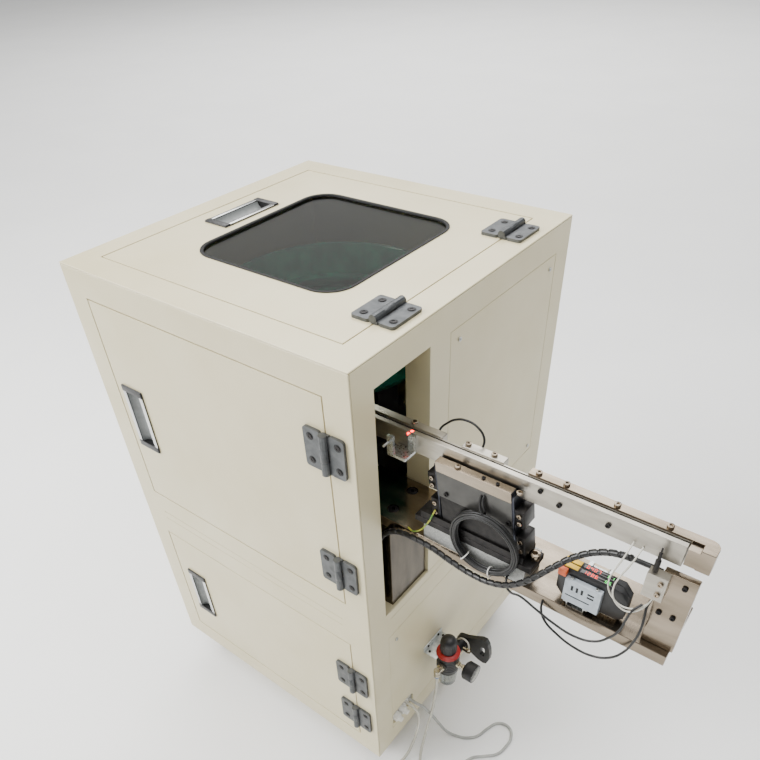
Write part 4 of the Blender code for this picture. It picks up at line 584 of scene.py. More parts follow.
def wound_tube(name, curve_piece, pitch_mm, low_mm, high_mm, share, finish):
    """A tube on a strand's centreline whose radius steps up along a helix, as a ribbon wound round it."""
    around = 18
    per_turn = 18
    line = along(curve_piece, pitch_mm * MM / per_turn)
    shape = bmesh.new()
    side = Vector((1, 0, 0))
    rings = []
    for i, (here, there) in enumerate(zip(line, line[1:])):
        ahead = (there - here).normalized()
        side = (side - ahead * side.dot(ahead)).normalized()
        up = ahead.cross(side)
        plain = i < 2 * per_turn or i > len(line) - 3 * per_turn
        ring = []
        for k in range(around):
            phase = (k / around - i / per_turn) % 1.0
            radius = low_mm if plain or phase > share else high_mm
            angle = 2 * math.pi * k / around
            ring.append(shape.verts.new(here + (side * math.cos(angle) + up * math.sin(angle)) * radius * MM))
        rings.append(ring)
    for one, two in zip(rings, rings[1:]):
        for k in range(around):
            shape.faces.new((one[k], one[(k + 1) % around], two[(k + 1) % around], two[k]))
    shape.faces.new(list(reversed(rings[0])))
    shape.faces.new(rings[-1])
    bmesh.ops.recalc_face_normals(shape, faces=shape.faces)
    mesh = bpy.data.meshes.new(name)
    shape.to_mesh(mesh)
    shape.free()
    piece = bpy.data.objects.new(name, mesh)
    bpy.context.scene.collection.objects.link(piece)
    activate(piece)
    bpy.ops.object.shade_smooth_by_angle(angle=math.radians(30))
    piece.data.materials.append(finish)
    return piece, line[:-1]


# %% Make the wrapped bundle
bpy.context.view_layer.update()
bundle, bundle_line = wound_tube("spiral_wrapped_bundle", loom, WRAP_PITCH, LOOM_MM / 2 - 0.4,
                                 LOOM_MM / 2 + 0.8, WRAPPED_SHARE, spiral_wrap)
bpy.data.objects.remove(loom, do_unlink=True)
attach(bundle, "cabinet")
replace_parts(bundle, "cable_loom")
print("bundle of", len(loom_route), "points,", len(bundle_line), "rings")

# %% [markdown]
# ## Loose sensor leads
# The spare length of the thin sensor leads hangs from the drive in one hank, tied twice. More leads hang in
# shallow loops below the track, and a yellow-green wire earths the drive. Each one is a short strand through
# chosen points that starts and ends on a solid, so none of them floats.

# %% The hank in front of the drive
hank_low, hank_high = edges_of("cable_hank")
HANK_MM = 3.6
hank_mid = (hank_low + hank_high) / 2
hank_out = (hank_high.x - hank_low.x) / 2
# How far each turn lies inside the hank's outline and in front of its back
INSETS = [(2.0, 2.0), (5.6, 2.0), (9.0, 2.2), (8.8, 6.0), (5.3, 5.8), (2.0, 5.8), (2.4, 9.6), (6.0, 9.6),
          (8.6, 9.4)]
layers = [(hank_out - inside, hank_high.y - forward) for inside, forward in INSETS]
flat_turns = ring_turns((hank_mid.x, hank_mid.z), layers, 95.0, 1.0)
cover_face = edges_of("drive_top")[0].y
hank_route = [(756, cover_face + 0.2, 772), (756, 72.0, 766), (757.5, 70.9, 757)]
hank_route += [(x, y, z + 0.6 * math.sin(0.9 * i)) for i, (x, z, y) in enumerate(flat_turns)]
hank_route += [(768, 64.5, 741.5), (757, 67.5, 750), (752, 71.5, 761), (751.5, cover_face + 0.2, 770)]
hank = strand("sensor_lead_hank", hank_route, HANK_MM, black_pvc, 2, 3)
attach(hank, "cabinet")
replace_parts(hank, "cable_hank")

# %% Ties on the hank
TIE_ANGLES = (234, 286)
ties = []
for angle_deg in TIE_ANGLES:
    angle = math.radians(angle_deg)
    middle = (hank_mid.x + (hank_out - 5.4) * math.cos(angle), hank_mid.y,
              hank_mid.z + (hank_out - 5.4) * math.sin(angle))
    start_clean()
    bpy.ops.mesh.primitive_torus_add(major_segments=28, minor_segments=8, major_radius=7.4 * MM,
                                     minor_radius=0.9 * MM, location=at(*middle))
    tie = bpy.context.object
    tie.rotation_euler = Matrix.Rotation(-angle, 3, 'Y').to_euler()
    settle(tie)
    ties.append(tie)
tie_pair = join_as(ties, "hank_ties")
activate(tie_pair)
bpy.ops.object.shade_smooth_by_angle(angle=math.radians(50))
complete(tie_pair, white_nylon, "cabinet")


# %% Loops below the track and the earth wire
STEP_M = 0.002


def loose_lead(name, route, diameter_mm, finish):
    """A short free lead between two solids; gives back its length along its centreline."""
    piece = strand(name, route, diameter_mm, finish, 2, 8)
    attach(piece, "cabinet")
    bpy.context.view_layer.update()
    points = along(piece, STEP_M)
    length = STEP_M * (len(points) - 1)
    return length


# The earth wire's PVC jacket is green and yellow, drawn here as drifting yellow-green
earth_pvc = new_finish("pvc_jacket_earth_green", "#7E9A33", 0.45)
mottle(earth_pvc, "#5F8A35", "#B3B23A", 9.0, spread=0.08)
relief(earth_pvc, 1.0, 0.02)
LEADS = [
    ("lead_loop_left", 3.4, black_pvc,
     [(803, 75.5, 648), (806, 66, 640), (815, 60, 634), (833, 58, 637), (858, 57, 629), (885, 57, 619),
      (918, 57, 614), (944, 58, 622), (960, 60, 640), (970, 62, 662), (973, 64, 684), (976, 67, 700),
      (984, 73.2, 712)]),
    ("lead_loop_right", 3.4, black_pvc,
     [(860, 74.2, 632), (862, 68, 622), (871, 62, 610), (895, 59, 597), (922, 58, 590), (948, 59, 591),
      (969, 61, 603), (982, 64, 622), (989, 67, 645), (992, 70, 668), (991, 74, 690), (989, 79, 704),
      (990, 83.6, 714)]),
    ("earth_lead", 2.4, earth_pvc,
     [(680, 74.5, 706), (679, 68.5, 700), (675, 67.5, 688), (668, 67, 674), (660, 67.5, 661),
      (650, 69.5, 650), (640, 72, 643), (630, 76, 641.4)]),
]
for name, diameter_mm, finish, route in LEADS:
    print(name, round(loose_lead(name, route, diameter_mm, finish), 3), "m")

# %% [markdown]
# ## Cutting a solid's finish into parts
# Some solids carry two materials: a door's hinge leaves are fused to its skin. A copy of the solid is cut
# by planes, as with Bisect in edit mode, and each part takes its own finish. The cut is filled, so every
# part is closed, and together they have exactly the solid's shape.


# %% A copy of a solid, cut by planes
WELD_M = 0.000005
CUT_WITHIN_M = 0.000001


def carve(source, name, cuts):
    """What is left of a solid's copy in front of each plane: a point in cabinet mm and a direction."""
    piece = source.copy()
    piece.data = source.data.copy()
    for key in list(piece.keys()):
        del piece[key]
    piece.parent = None
    piece.name = name
    bpy.context.scene.collection.objects.link(piece)
    piece.hide_render = False
    piece.hide_viewport = False
    activate(piece)
    bpy.ops.object.mode_set(mode='EDIT')
    bpy.ops.mesh.select_mode(type='FACE')
    bpy.ops.mesh.select_all(action='SELECT')
    bpy.ops.mesh.remove_doubles(threshold=WELD_M)
    for point, kept in cuts:
        bpy.ops.mesh.select_all(action='SELECT')
        bpy.ops.mesh.bisect(plane_co=at(*point), plane_no=kept, use_fill=True, clear_inner=True,
                            threshold=CUT_WITHIN_M)
    bpy.ops.object.mode_set(mode='OBJECT')
    bpy.ops.object.shade_smooth_by_angle(angle=math.radians(32))
    even = piece.modifiers.new("even_normals", 'WEIGHTED_NORMAL')
    even.keep_sharp = True
    bpy.ops.object.modifier_apply(modifier=even.name)
    return piece


def parts_of(node, body, wanted):
    """Several carved parts that together stand for one solid: (name, finish, slot, cuts)."""
    for name, finish, slot_name, cuts in wanted:
        piece = complete(carve(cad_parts[node], name, cuts), finish, body)
        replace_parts(piece, node)


# %% Doors and lid with their hinge leaves
SKIN_OFF = 0.05
for door in ("upper_door", "lower_door"):
    parts_of(door, door + "_leaf", [
        (door + "_panel", beige_powder, "cabinet_enamel", [((0, -SKIN_OFF, 0), (0, 1, 0))]),
        (door + "_hinge_leaves", cast_zinc, "hinge_zinc", [((0, -SKIN_OFF, 0), (0, -1, 0))])])
lid_top = edges_of("top_frame")[1].z
parts_of("lid", "lid_leaf", [
    ("lid_panel", beige_powder, "cabinet_enamel", [((0, 0, lid_top + SKIN_OFF), (0, 0, -1))]),
    ("lid_hinge_leaves", cast_zinc, "hinge_zinc", [((0, 0, lid_top + SKIN_OFF), (0, 0, 1))])])
print("lid top at", round(lid_top, 1))

# %% [markdown]
# ## Window seal
# A black rubber profile is pressed over the edge of the lid's cut-out and grips the pane. It starts as a
# plane the size of the opening: its corners are rounded, its rim is inset, the middle is taken out, and
# the rim is raised.


# %% A raised rim with round corners
def raised_rim(name, low, high, corner_mm, width_mm, foot_z, height_mm):
    """A flat frame with round corners, standing foot_z to foot_z + height_mm."""
    start_clean()
    one, two = at(*low, foot_z), at(*high, foot_z)
    bpy.ops.mesh.primitive_plane_add(size=1.0, location=(one + two) / 2)
    rim = bpy.context.object
    rim.name = name
    rim.scale = (two.x - one.x, two.y - one.y, 1.0)
    settle(rim)
    bpy.ops.object.mode_set(mode='EDIT')
    bpy.ops.mesh.select_all(action='SELECT')
    bpy.ops.mesh.bevel(offset=corner_mm * MM, segments=10, affect='VERTICES')
    bpy.ops.mesh.select_mode(type='FACE')
    bpy.ops.mesh.select_all(action='SELECT')
    bpy.ops.mesh.inset(thickness=width_mm * MM, depth=0.0)
    bpy.ops.mesh.delete(type='FACE')
    bpy.ops.mesh.select_all(action='SELECT')
    bpy.ops.mesh.extrude_region_move(TRANSFORM_OT_translate={"value": (0, 0, height_mm * MM)})
    bpy.ops.mesh.select_all(action='SELECT')
    bpy.ops.mesh.normals_make_consistent(inside=False)
    bpy.ops.object.mode_set(mode='OBJECT')
    soften(rim, 0.7, 2)
    return rim


# %% Make the seal
WINDOW = (152, 143, 458, 466)
WINDOW_CORNER = 45.0


def window_grown(by):
    """The window's two corners moved outwards, and the corner radius that goes with them."""
    left, front, right, back = WINDOW
    return (left - by, front - by), (right + by, back + by), WINDOW_CORNER + by


outer_lip = raised_rim("seal_lip", *window_grown(2.8), 3.9, lid_top + 0.1, 1.5)
inner_lip = raised_rim("seal_bead", *window_grown(-0.4), 2.6, lid_top - 2.4, 3.7)
seal = complete(join_as([outer_lip, inner_lip], "window_seal"), seal_rubber, "lid_leaf")
print("seal of", len(seal.data.polygons), "faces")

# %% [markdown]
# ## Recessed handles
# Each handle is a pressed grey trough in a frame: two bright side strips and two black end caps. The trough
# is half of a cylinder with a wall, which fits the fingers and catches one long soft highlight.


# %% One handle, upright on a door or lying on the lid
def dress_handle(node, body, lying):
    """Caps, strips and a trough on a handle's solid."""
    low, high = edges_of(node)
    if lying:
        out_face = high.z

        def spot(across, along_mm, out_mm):
            return (low.x + across, low.y + along_mm, out_face + out_mm)
        length, axis = high.y - low.y, 'Y'
    else:
        out_face = low.y

        def spot(across, along_mm, out_mm):
            return (low.x + across, out_face - out_mm, low.z + along_mm)
        length, axis = high.z - low.z, 'Z'
    width = high.x - low.x

    def bar(name, one, two):
        corners = [Vector(spot(*one)), Vector(spot(*two))]
        return block(name, [min(c[i] for c in corners) for i in range(3)],
                     [max(c[i] for c in corners) for i in range(3)])
    caps = []
    for foot in (0.4, length - 12.0):
        cap = bar("cap", (0.4, foot, 0.0), (width - 0.4, foot + 11.6, 1.9))
        soften(cap, 1.3, 3)
        caps.append(cap)
    complete(join_as(caps, node + "_end_caps"), black_abs, body)
    strips = []
    for side in (0.5, width - 8.9):
        strip = bar("strip", (side, 12.2, 0.0), (side + 8.4, length - 12.2, 1.3))
        soften(strip, 0.5, 2)
        strips.append(strip)
    complete(join_as(strips, node + "_side_strips"), brushed_aluminium, body)
    start_clean()
    radius = width / 2 - 10.0
    middle = Vector(spot(width / 2, length / 2, -0.6))
    bpy.ops.mesh.primitive_cylinder_add(vertices=40, radius=radius * MM, depth=(length - 23.0) * MM,
                                        end_fill_type='NOTHING', location=at(*middle), rotation=AXES[axis])
    trough = settle(bpy.context.object)
    bpy.ops.object.mode_set(mode='EDIT')
    bpy.ops.mesh.select_all(action='SELECT')
    inward = (0, 0, -1) if lying else (0, 1, 0)
    bpy.ops.mesh.bisect(plane_co=at(*middle), plane_no=inward, clear_inner=True)
    bpy.ops.mesh.select_all(action='SELECT')
    flat = (1, 1, 0.72) if lying else (1, 0.72, 1)
    bpy.ops.transform.resize(value=flat, center_override=at(*middle))
    bpy.ops.object.mode_set(mode='OBJECT')
    wall = trough.modifiers.new("wall", 'SOLIDIFY')
    wall.thickness = 0.8 * MM
    wall.offset = 0.0
    activate(trough)
    bpy.ops.object.modifier_apply(modifier=wall.name)
    bpy.ops.object.shade_smooth_by_angle(angle=math.radians(40))
    trough.name = node + "_trough"
    complete(trough, grey_abs, body)


# Brushed aluminium: fine straight lines, satin
brushed_aluminium = new_finish("brushed_aluminium_strip", "#C9CACA", 0.26, 1.0)
mottle(brushed_aluminium, "#BBBCBC", "#D4D5D4", 12.0, (1.0, 1.0, 0.1))
relief(brushed_aluminium, 0.6, 0.006, (1.0, 1.0, 0.05))
for node, body, lying in (("upper_door_handle", "upper_door_leaf", False),
                          ("lower_door_handle", "lower_door_leaf", False), ("lid_handle", "lid_leaf", True)):
    dress_handle(node, body, lying)
print("handles dressed")

# %% [markdown]
# ## Screws
# Socket cap screws hold nearly everything on the arm. One head is modelled at the origin: a cylinder whose
# rim is rounded, with a hexagonal socket cut by a six-sided cutter. Every other head is a copy with its own
# mesh, turned to its axis and put at its place.


# %% A socket cap head
def socket_head(name, head_mm, tall_mm, key_mm, round_mm=0.4):
    """A cap screw's head on the origin, with a hexagonal socket in its top."""
    start_clean()
    bpy.ops.mesh.primitive_cylinder_add(vertices=28, radius=head_mm * MM / 2, depth=tall_mm * MM,
                                        location=(0, 0, tall_mm * MM / 2))
    head = settle(bpy.context.object)
    soften(head, round_mm, 2)
    start_clean()
    bpy.ops.mesh.primitive_cylinder_add(vertices=6, radius=key_mm * MM / 2, depth=tall_mm * MM,
                                        location=(0, 0, tall_mm * MM * 1.05))
    cutter = settle(bpy.context.object)
    activate(head)
    cut = head.modifiers.new("socket", 'BOOLEAN')
    cut.operation = 'DIFFERENCE'
    cut.object = cutter
    bpy.ops.object.modifier_apply(modifier=cut.name)
    bpy.data.objects.remove(cutter, do_unlink=True)
    head.name = name
    return head


def fasten(template, name, axis, places, finish, body):
    """Copies of one head at several places in cabinet mm, joined as one piece."""
    turned_by = Euler(AXES[axis]).to_matrix().to_4x4()
    copies = []
    for number, place in enumerate(places):
        copies.append(copy_to(template, Matrix.Translation(at(*place)) @ turned_by, f"{name}_{number}"))
    return complete(join_as(copies, name), finish, body)


m10_head = socket_head("m10_head", 16.0, 10.0, 9.2, 0.7)
m5_head = socket_head("m5_head", 8.5, 3.2, 4.8, 0.4)
m4_head = socket_head("m4_head", 7.0, 2.6, 3.6, 0.35)
m3_head = socket_head("m3_head", 5.5, 2.0, 2.9, 0.3)
hinge_head = socket_head("hinge_head", 9.4, 1.0, 5.2, 0.3)
print("head faces", len(m10_head.data.polygons))

# %% Screws of the arm, the drive and the track
plate_top = edges_of("arm_base_plate")[1].z
FLANGE_TALL = 11.3
flange_top = edges_of("drive_riser")[1].z + FLANGE_TALL
lip_top = edges_of("drive_top")[1].z
TRACK_CLAMP_Y = 110.6
TRACK_CLAMP_X = (619, 707, 747, 812, 850, 916, 980)
LIP_Y = 82
rear_top = edges_of("track_rear_rail")[1].z
track_front = edges_of("track_front_rail")[0].y
drive_front = edges_of("drive_top")[0].y
fasten(m10_head, "arm_plate_screws", "Z", [(585, 98, plate_top - 10.3), (585, 150, plate_top - 10.3)],
       black_oxide, "cabinet")
fasten(m10_head, "flange_screw", "Z", [(830.0, 95, flange_top)], bright_nickel, "cabinet")
fasten(m5_head, "track_screws", "Z", [(x, TRACK_CLAMP_Y, rear_top) for x in TRACK_CLAMP_X],
       bright_nickel, "track_unit")
fasten(m4_head, "track_set_screws", "-Y", [(852, track_front, 793), (916, track_front, 794),
                                           (825, track_front, 803)],
       black_oxide, "track_unit")
fasten(m5_head, "cover_screws", "Z", [(709, LIP_Y, lip_top), (802, LIP_Y, lip_top)], bright_nickel,
       "track_unit")
fasten(m3_head, "lip_screws", "Z", [(749, LIP_Y, lip_top), (770, LIP_Y, lip_top)], black_oxide,
       "track_unit")
fasten(m4_head, "cover_side_screw", "-Y", [(697, drive_front, 744), (795, drive_front, 744)], black_oxide,
       "track_unit")
PANEL_SCREWS = [(251, 872), (534, 872), (538, 492), (251, 492), (73, 337), (526, 337), (526, 73), (73, 73)]
panel_face = edges_of("right_upper_panel")[1].x
fasten(m4_head, "panel_screws", "X", [(panel_face, y, z) for y, z in PANEL_SCREWS], zinc_plate,
       "cabinet")
# Each hinge's middle along its pin, and the height of its leaves over the surface
HINGES_AT = [("upper_door_leaf", "-Y", (801.5, 559)), ("lower_door_leaf", "-Y", (254, 126)),
             ("lid_leaf", "Z", (145.5, 479))]
HINGE_SIDES = {"door": 526.0, "frame": 575.5}
HINGE_TALL = 5.0
HINGE_SCREW_STEP = 20.5
# A thin dark disc under each hinge screw head is painted shade in its counterbore
start_clean()
bpy.ops.mesh.primitive_cylinder_add(vertices=32, radius=6.4 * MM, depth=0.3 * MM, location=(0, 0, 0.0))
recess = settle(bpy.context.object)
recess_shade = new_finish("shaded_counterbore", "#242526", 0.6, 0.4)
mottle(recess_shade, "#1E1F20", "#2C2D2E", 5.0)
for leaf_body, axis, middles in HINGES_AT:
    for side, x in HINGE_SIDES.items():
        body = leaf_body if side == "door" else "cabinet"
        steps = [middle + step for middle in middles for step in (-HINGE_SCREW_STEP, HINGE_SCREW_STEP)]
        places = [(x, -HINGE_TALL, z) if axis == "-Y" else (x, z, lid_top + HINGE_TALL) for z in steps]
        fasten(recess, f"{leaf_body}_{side}_counterbores", axis, places, recess_shade, body)
        fasten(hinge_head, f"{leaf_body}_{side}_hinge_screws", axis, places, black_oxide, body)
bpy.data.objects.remove(recess, do_unlink=True)
print("flange top", round(flange_top, 1), "clamp top", round(rear_top, 1), "lip top", round(lip_top, 1))

# %% [markdown]
# ## The linear drive
# The drive shakes the track on two leaf springs that lean by 8 degrees. Its moving top is a grey casting
# with a bright ground lip, and the springs below it are blued steel clamped between black blocks. The
# solid holds all of these, so planes along the springs part it into its finishes.

# %% Part the moving top into casting, lip and springs
LEAN = math.radians(8.0)
SPRING_FEET = {"left": 692.5, "right": 812.0}
SPRING_HALF = 1.55
SPRING_CUT_Z = 735.0
track_sole = edges_of("track_front_rail")[0].z - 0.3
spring_foot = edges_of("drive_riser")[1].z + 0.3
blued_steel = new_finish("blued_spring_steel", "#3A3D46", 0.28, 0.95)
mottle(blued_steel, "#30323A", "#4A4C53", 12.0)
relief(blued_steel, 0.8, 0.006, (1.0, 1.0, 0.1))


def beside_spring(x_at_foot, z, offset):
    """A point on a leaning spring's line at a height, moved sideways."""
    return (x_at_foot - (z - spring_foot) * math.tan(LEAN) + offset, 0, z)


rightwards = (math.cos(LEAN), 0, math.sin(LEAN))
leftwards = (-math.cos(LEAN), 0, -math.sin(LEAN))
left_face = (beside_spring(SPRING_FEET["left"], SPRING_CUT_Z, SPRING_HALF), rightwards)
right_face = (beside_spring(SPRING_FEET["right"], SPRING_CUT_Z, -SPRING_HALF), leftwards)
under_lip = ((0, 0, track_sole + 0.1), (0, 0, -1))
over_lip = ((0, 0, track_sole + 0.1), (0, 0, 1))
parts_of("drive_top", "track_unit", [
    ("drive_cover", gunmetal, "drive_enamel", [left_face, right_face, under_lip]),
    ("drive_lip", bright_nickel, "drive_enamel", [left_face, right_face, over_lip]),
    ("left_leaf_spring", blued_steel, "drive_enamel", [(left_face[0], leftwards)]),
    ("right_leaf_spring", blued_steel, "drive_enamel", [(right_face[0], rightwards)])])


# %% Spring clamps on both sides
CLAMP_FRONT_Y = 77.5
CLAMP_BACK_Y = 106.5
CLAMP_LONG = 15.5
CLAMPS = [("lower", 692.9, 724.0, "cabinet", 2.5), ("upper", 741.0, 768.0, "track_unit", 1.9)]


def leaning_block(name, x_low, x_high, z_low, z_high):
    """A block across the drive whose ends lean with the springs; its x values hold at z_low."""
    piece = block(name, (x_low, CLAMP_FRONT_Y, z_low), (x_high, CLAMP_BACK_Y, z_high))
    pick_faces(piece, lambda centre, normal: normal.z > 0.9)
    bpy.ops.transform.translate(value=(-(z_high - z_low) * math.tan(LEAN) * MM, 0, 0))
    bpy.ops.object.mode_set(mode='OBJECT')
    soften(piece, 0.9, 2)
    return piece


# The gap to a spring is wider at the lower clamps, because the spring moves past them
for level, z_low, z_high, body, gap in CLAMPS:
    pair = []
    heads = []
    for side, foot_x in SPRING_FEET.items():
        edge = beside_spring(foot_x, z_low, 0)[0]
        near, far = (edge - CLAMP_LONG, edge - gap) if side == "left" else (edge + gap, edge + CLAMP_LONG)
        pair.append(leaning_block("clamp", near, far, z_low, z_high))
        outwards = -8.7 if side == "left" else 8.7
        for z in (z_low + 7.5, z_high - 7.5):
            heads.append((beside_spring(foot_x, z, outwards)[0], CLAMP_FRONT_Y, z))
    complete(join_as(pair, level + "_spring_clamps"), black_oxide, body)
    fasten(m4_head, level + "_clamp_screws", "-Y", heads, bright_nickel, body)
print("drive parted into 4, clamps on", list(SPRING_FEET))

# %% [markdown]
# ## Turned pieces
# A turned piece begins as a circle at its foot. Each next ring is an extrusion of the last one, moved along
# the axis and resized about it, as one would do by hand with E and S. The list of rings is its profile.


# %% A turned piece from rings
def lathe(name, foot, axis, rings, sides=40):
    """Rings of (radius, height) in mm that stand on a foot and rise along an axis."""
    start_clean()
    bpy.ops.mesh.primitive_circle_add(vertices=sides, radius=rings[0][0] * MM, fill_type='NGON')
    piece = bpy.context.object
    piece.name = name
    bpy.ops.object.mode_set(mode='EDIT')
    bpy.ops.mesh.select_all(action='SELECT')
    for (radius, height), (next_radius, next_height) in zip(rings, rings[1:]):
        rise = (next_height - height) * MM
        bpy.ops.mesh.extrude_region_move(TRANSFORM_OT_translate={"value": (0, 0, rise)})
        ratio = max(next_radius, 0.02) / max(radius, 0.02)
        bpy.ops.transform.resize(value=(ratio, ratio, 1.0), center_override=(0, 0, next_height * MM))
    bpy.ops.mesh.select_all(action='SELECT')
    bpy.ops.mesh.normals_make_consistent(inside=False)
    bpy.ops.object.mode_set(mode='OBJECT')
    piece.data.transform(Matrix.Translation(at(*foot)) @ Euler(AXES[axis]).to_matrix().to_4x4())
    activate(piece)
    bpy.ops.object.shade_smooth_by_angle(angle=math.radians(32))
    return piece


# %% [markdown]
# ## Air regulator
# Supply air enters at the elbow, passes the filter cup and leaves through the shut-off valve. The black
# body is moulded, the red ring above it locks the knob, and the cup is smoky so that water shows in it.

# %% Regulator body, ring, cup and fittings
REG = (643.0, 190.0)
PORT_Z = 174.0
ELBOW_Y = 148.9


def regulator_part(pieces, name, finish):
    """Turned pieces joined into one part that stands for some of the regulator's solid."""
    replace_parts(complete(join_as(pieces, name), finish, "cabinet"), "regulator")


ribs = []
for i in range(7):
    z = 4.0 + i * 6.0
    ribs += [(24.0, z), (24.0, z + 3.6), (22.8, z + 4.4), (22.8, z + 5.4)]
body_top = [(23.6, 45.6), (22.0, 47.0)]
body_rings = [(21.5, 0.0), (23.4, 1.5)] + ribs + body_top
ring_rings = [(24.8, 0.0), (25.0, 1.0), (24.6, 3.2), (19.2, 6.6), (18.0, 7.0)]
cup_rings = [(3.0, 0.0), (10.0, 0.6), (15.0, 2.6), (18.0, 7.0), (19.6, 18.0), (21.4, 40.0), (22.0, 48.2)]
drain_rings = [(2.6, 0.0), (3.2, 1.0), (3.2, 8.0), (5.6, 9.2), (5.6, 12.4)]
neck_rings = [(6.8, 0.0), (6.8, 5.0), (5.0, 6.0), (5.0, 12.0), (6.2, 13.0), (6.2, 19.2)]
elbow_rings = [(5.2, 0.0), (6.4, 1.0), (6.4, 9.0), (7.0, 10.0), (7.0, 19.0), (5.0, 21.0)]
arm_rings = [(6.2, 0.0), (6.2, 10.0), (8.2, 10.4), (8.2, 17.0)]
collar_rings = [(4.6, 0.0), (5.6, 0.6), (5.6, 2.6), (4.9, 3.6)]
blue_nylon = new_finish("moulded_blue_nylon", "#2C5F9E", 0.4)
mottle(blue_nylon, "#27558F", "#3169AA", 5.0)
relief(blue_nylon, 0.7, 0.012)
reg_body = lathe("regulator_body", (*REG, 150.0), "Z", body_rings)
port = lathe("outlet_boss", (REG[0], 165.0, PORT_Z), "Y", [(12.0, 0.0), (12.0, 49.0), (11.2, 50.2)])
body_cap = lathe("body_cap", (*REG, 143.0), "Z", [(20.5, 0.0), (22.6, 1.2), (22.6, 7.5)])
regulator_part([reg_body, port, body_cap], "regulator_housing", black_abs)
regulator_part([lathe("lock_ring", (*REG, 197.0), "Z", ring_rings)], "lock_ring", red_nylon)
regulator_part([lathe("filter_cup", (*REG, 95.0), "Z", cup_rings)], "filter_cup", smoky_cup)
regulator_part([lathe("cup_drain", (*REG, 83.0), "Z", drain_rings)], "cup_drain", black_abs)
neck = lathe("gauge_neck", (666.0, REG[1], PORT_Z), "X", neck_rings, 24)
elbow_body = lathe("inlet_elbow", (REG[0], ELBOW_Y, 161.0), "Z", elbow_rings, 24)
elbow_arm = lathe("inlet_arm", (REG[0], 149.0, PORT_Z), "Y", arm_rings, 24)
regulator_part([neck, elbow_body, elbow_arm], "brass_fittings", turned_brass)
collar = lathe("release_collar", (REG[0], ELBOW_Y, 157.6), "Z", collar_rings, 24)
regulator_part([collar], "release_collar", blue_nylon)
print("regulator ribs", len(ribs) // 4)

# %% Bracket behind the regulator
SHEET_MM = 2.2
PLATE_TOP = 195.5
BRACKET_Y = (161.5, 227.0)
panel_x = panel_face + 0.4
plate = block("bracket_plate", (panel_x, BRACKET_Y[0], PLATE_TOP - SHEET_MM), (632.0, BRACKET_Y[1], PLATE_TOP))
leg = block("bracket_leg", (panel_x, BRACKET_Y[0], 195.0), (panel_x + SHEET_MM, BRACKET_Y[1], 207.3))
for part in (plate, leg):
    soften(part, 0.5, 2)
zinc_sheet = new_finish("galvanised_sheet", "#C9CBC7", 0.42, 0.9)
mottle(zinc_sheet, "#B4B7B4", "#D5D7D3", 9.0, spread=0.12)
relief(zinc_sheet, 3.0, 0.012)
bracket = complete(join_as([plate, leg], "regulator_bracket"), zinc_sheet, "cabinet")
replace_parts(bracket, "regulator")
fasten(m3_head, "bracket_screws", "Z", [(611, y, PLATE_TOP) for y in (169, 219)], black_oxide, "cabinet")
fasten(m3_head, "bracket_leg_screws", "X", [(panel_x + SHEET_MM, y, 201.6) for y in (176, 212)],
       black_oxide, "cabinet")

# %% Knob with flutes
knob_low, knob_high = edges_of("regulator_knob")
knob_tall = knob_high.z - knob_low.z
knob = lathe("domed_knob", (*REG, knob_low.z), "Z",
             [(15.4, 0.0), (16.6, 0.8), (16.6, 3.0), (15.8, 3.6), (17.5, 5.0), (17.4, 24.0), (16.6, 30.0),
              (14.4, 35.2), (10.6, 38.8), (5.6, 40.5), (0.0, knob_tall)], 48)
FLUTES = 18
FLUTE_RING = 18.1
flutes = []
for i in range(FLUTES):
    angle = 2 * math.pi * i / FLUTES
    foot = (REG[0] + FLUTE_RING * math.cos(angle), REG[1] + FLUTE_RING * math.sin(angle), knob_low.z + 6.5)
    flutes.append(lathe("flute", foot, "Z", [(0.9, 0.0), (1.3, 1.2), (1.3, 17.0), (0.6, 19.5)], 10))
cutters = join_as(flutes, "flutes")
activate(knob)
cut = knob.modifiers.new("flutes", 'BOOLEAN')
cut.operation = 'DIFFERENCE'
cut.object = cutters
bpy.ops.object.modifier_apply(modifier=cut.name)
bpy.data.objects.remove(cutters, do_unlink=True)
complete(knob, black_abs, "pressure_knob")
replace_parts(knob, "regulator_knob")
print("knob faces", len(knob.data.polygons))

# %% [markdown]
# ## Pressure gauge
# A 40 mm gauge in a black case. The dial is a printed card with a tick every 9 degrees and a longer one
# every 27. The needle rests at zero, and a clear cover is pressed in over it.

# %% Dial, ticks, needle and cover
gauge_low, gauge_high = edges_of("pressure_gauge")
GAUGE = ((gauge_low.y + gauge_high.y) / 2, (gauge_low.z + gauge_high.z) / 2)
dial_x = gauge_high.x - 1.9
CARD_MM = 0.5
ZERO_AT = -135
TICK_STEP = 9
card = lathe("dial_card", (dial_x, *GAUGE), "X", [(17.6, 0.0), (17.6, CARD_MM)], 48)
complete(card, dial_white, "cabinet")


def on_dial(radius, angle_deg):
    """The middle of a mark at a radius; 0 degrees is straight up and angles grow clockwise."""
    angle = math.radians(angle_deg)
    return (GAUGE[0] + radius * math.sin(angle), GAUGE[1] + radius * math.cos(angle))


def dial_mark(name, radius, angle_deg, long_mm, wide_mm, thick_mm=0.16):
    """A thin bar on the card that points away from its middle."""
    y, z = on_dial(radius, angle_deg)
    bar = block(name, (dial_x + CARD_MM, y - wide_mm / 2, z - long_mm / 2),
                (dial_x + CARD_MM + thick_mm, y + wide_mm / 2, z + long_mm / 2))
    turn_about = at(dial_x, y, z)
    bar.data.transform(Matrix.Translation(turn_about) @ Matrix.Rotation(-math.radians(angle_deg), 4, 'X')
                       @ Matrix.Translation(-turn_about))
    return bar


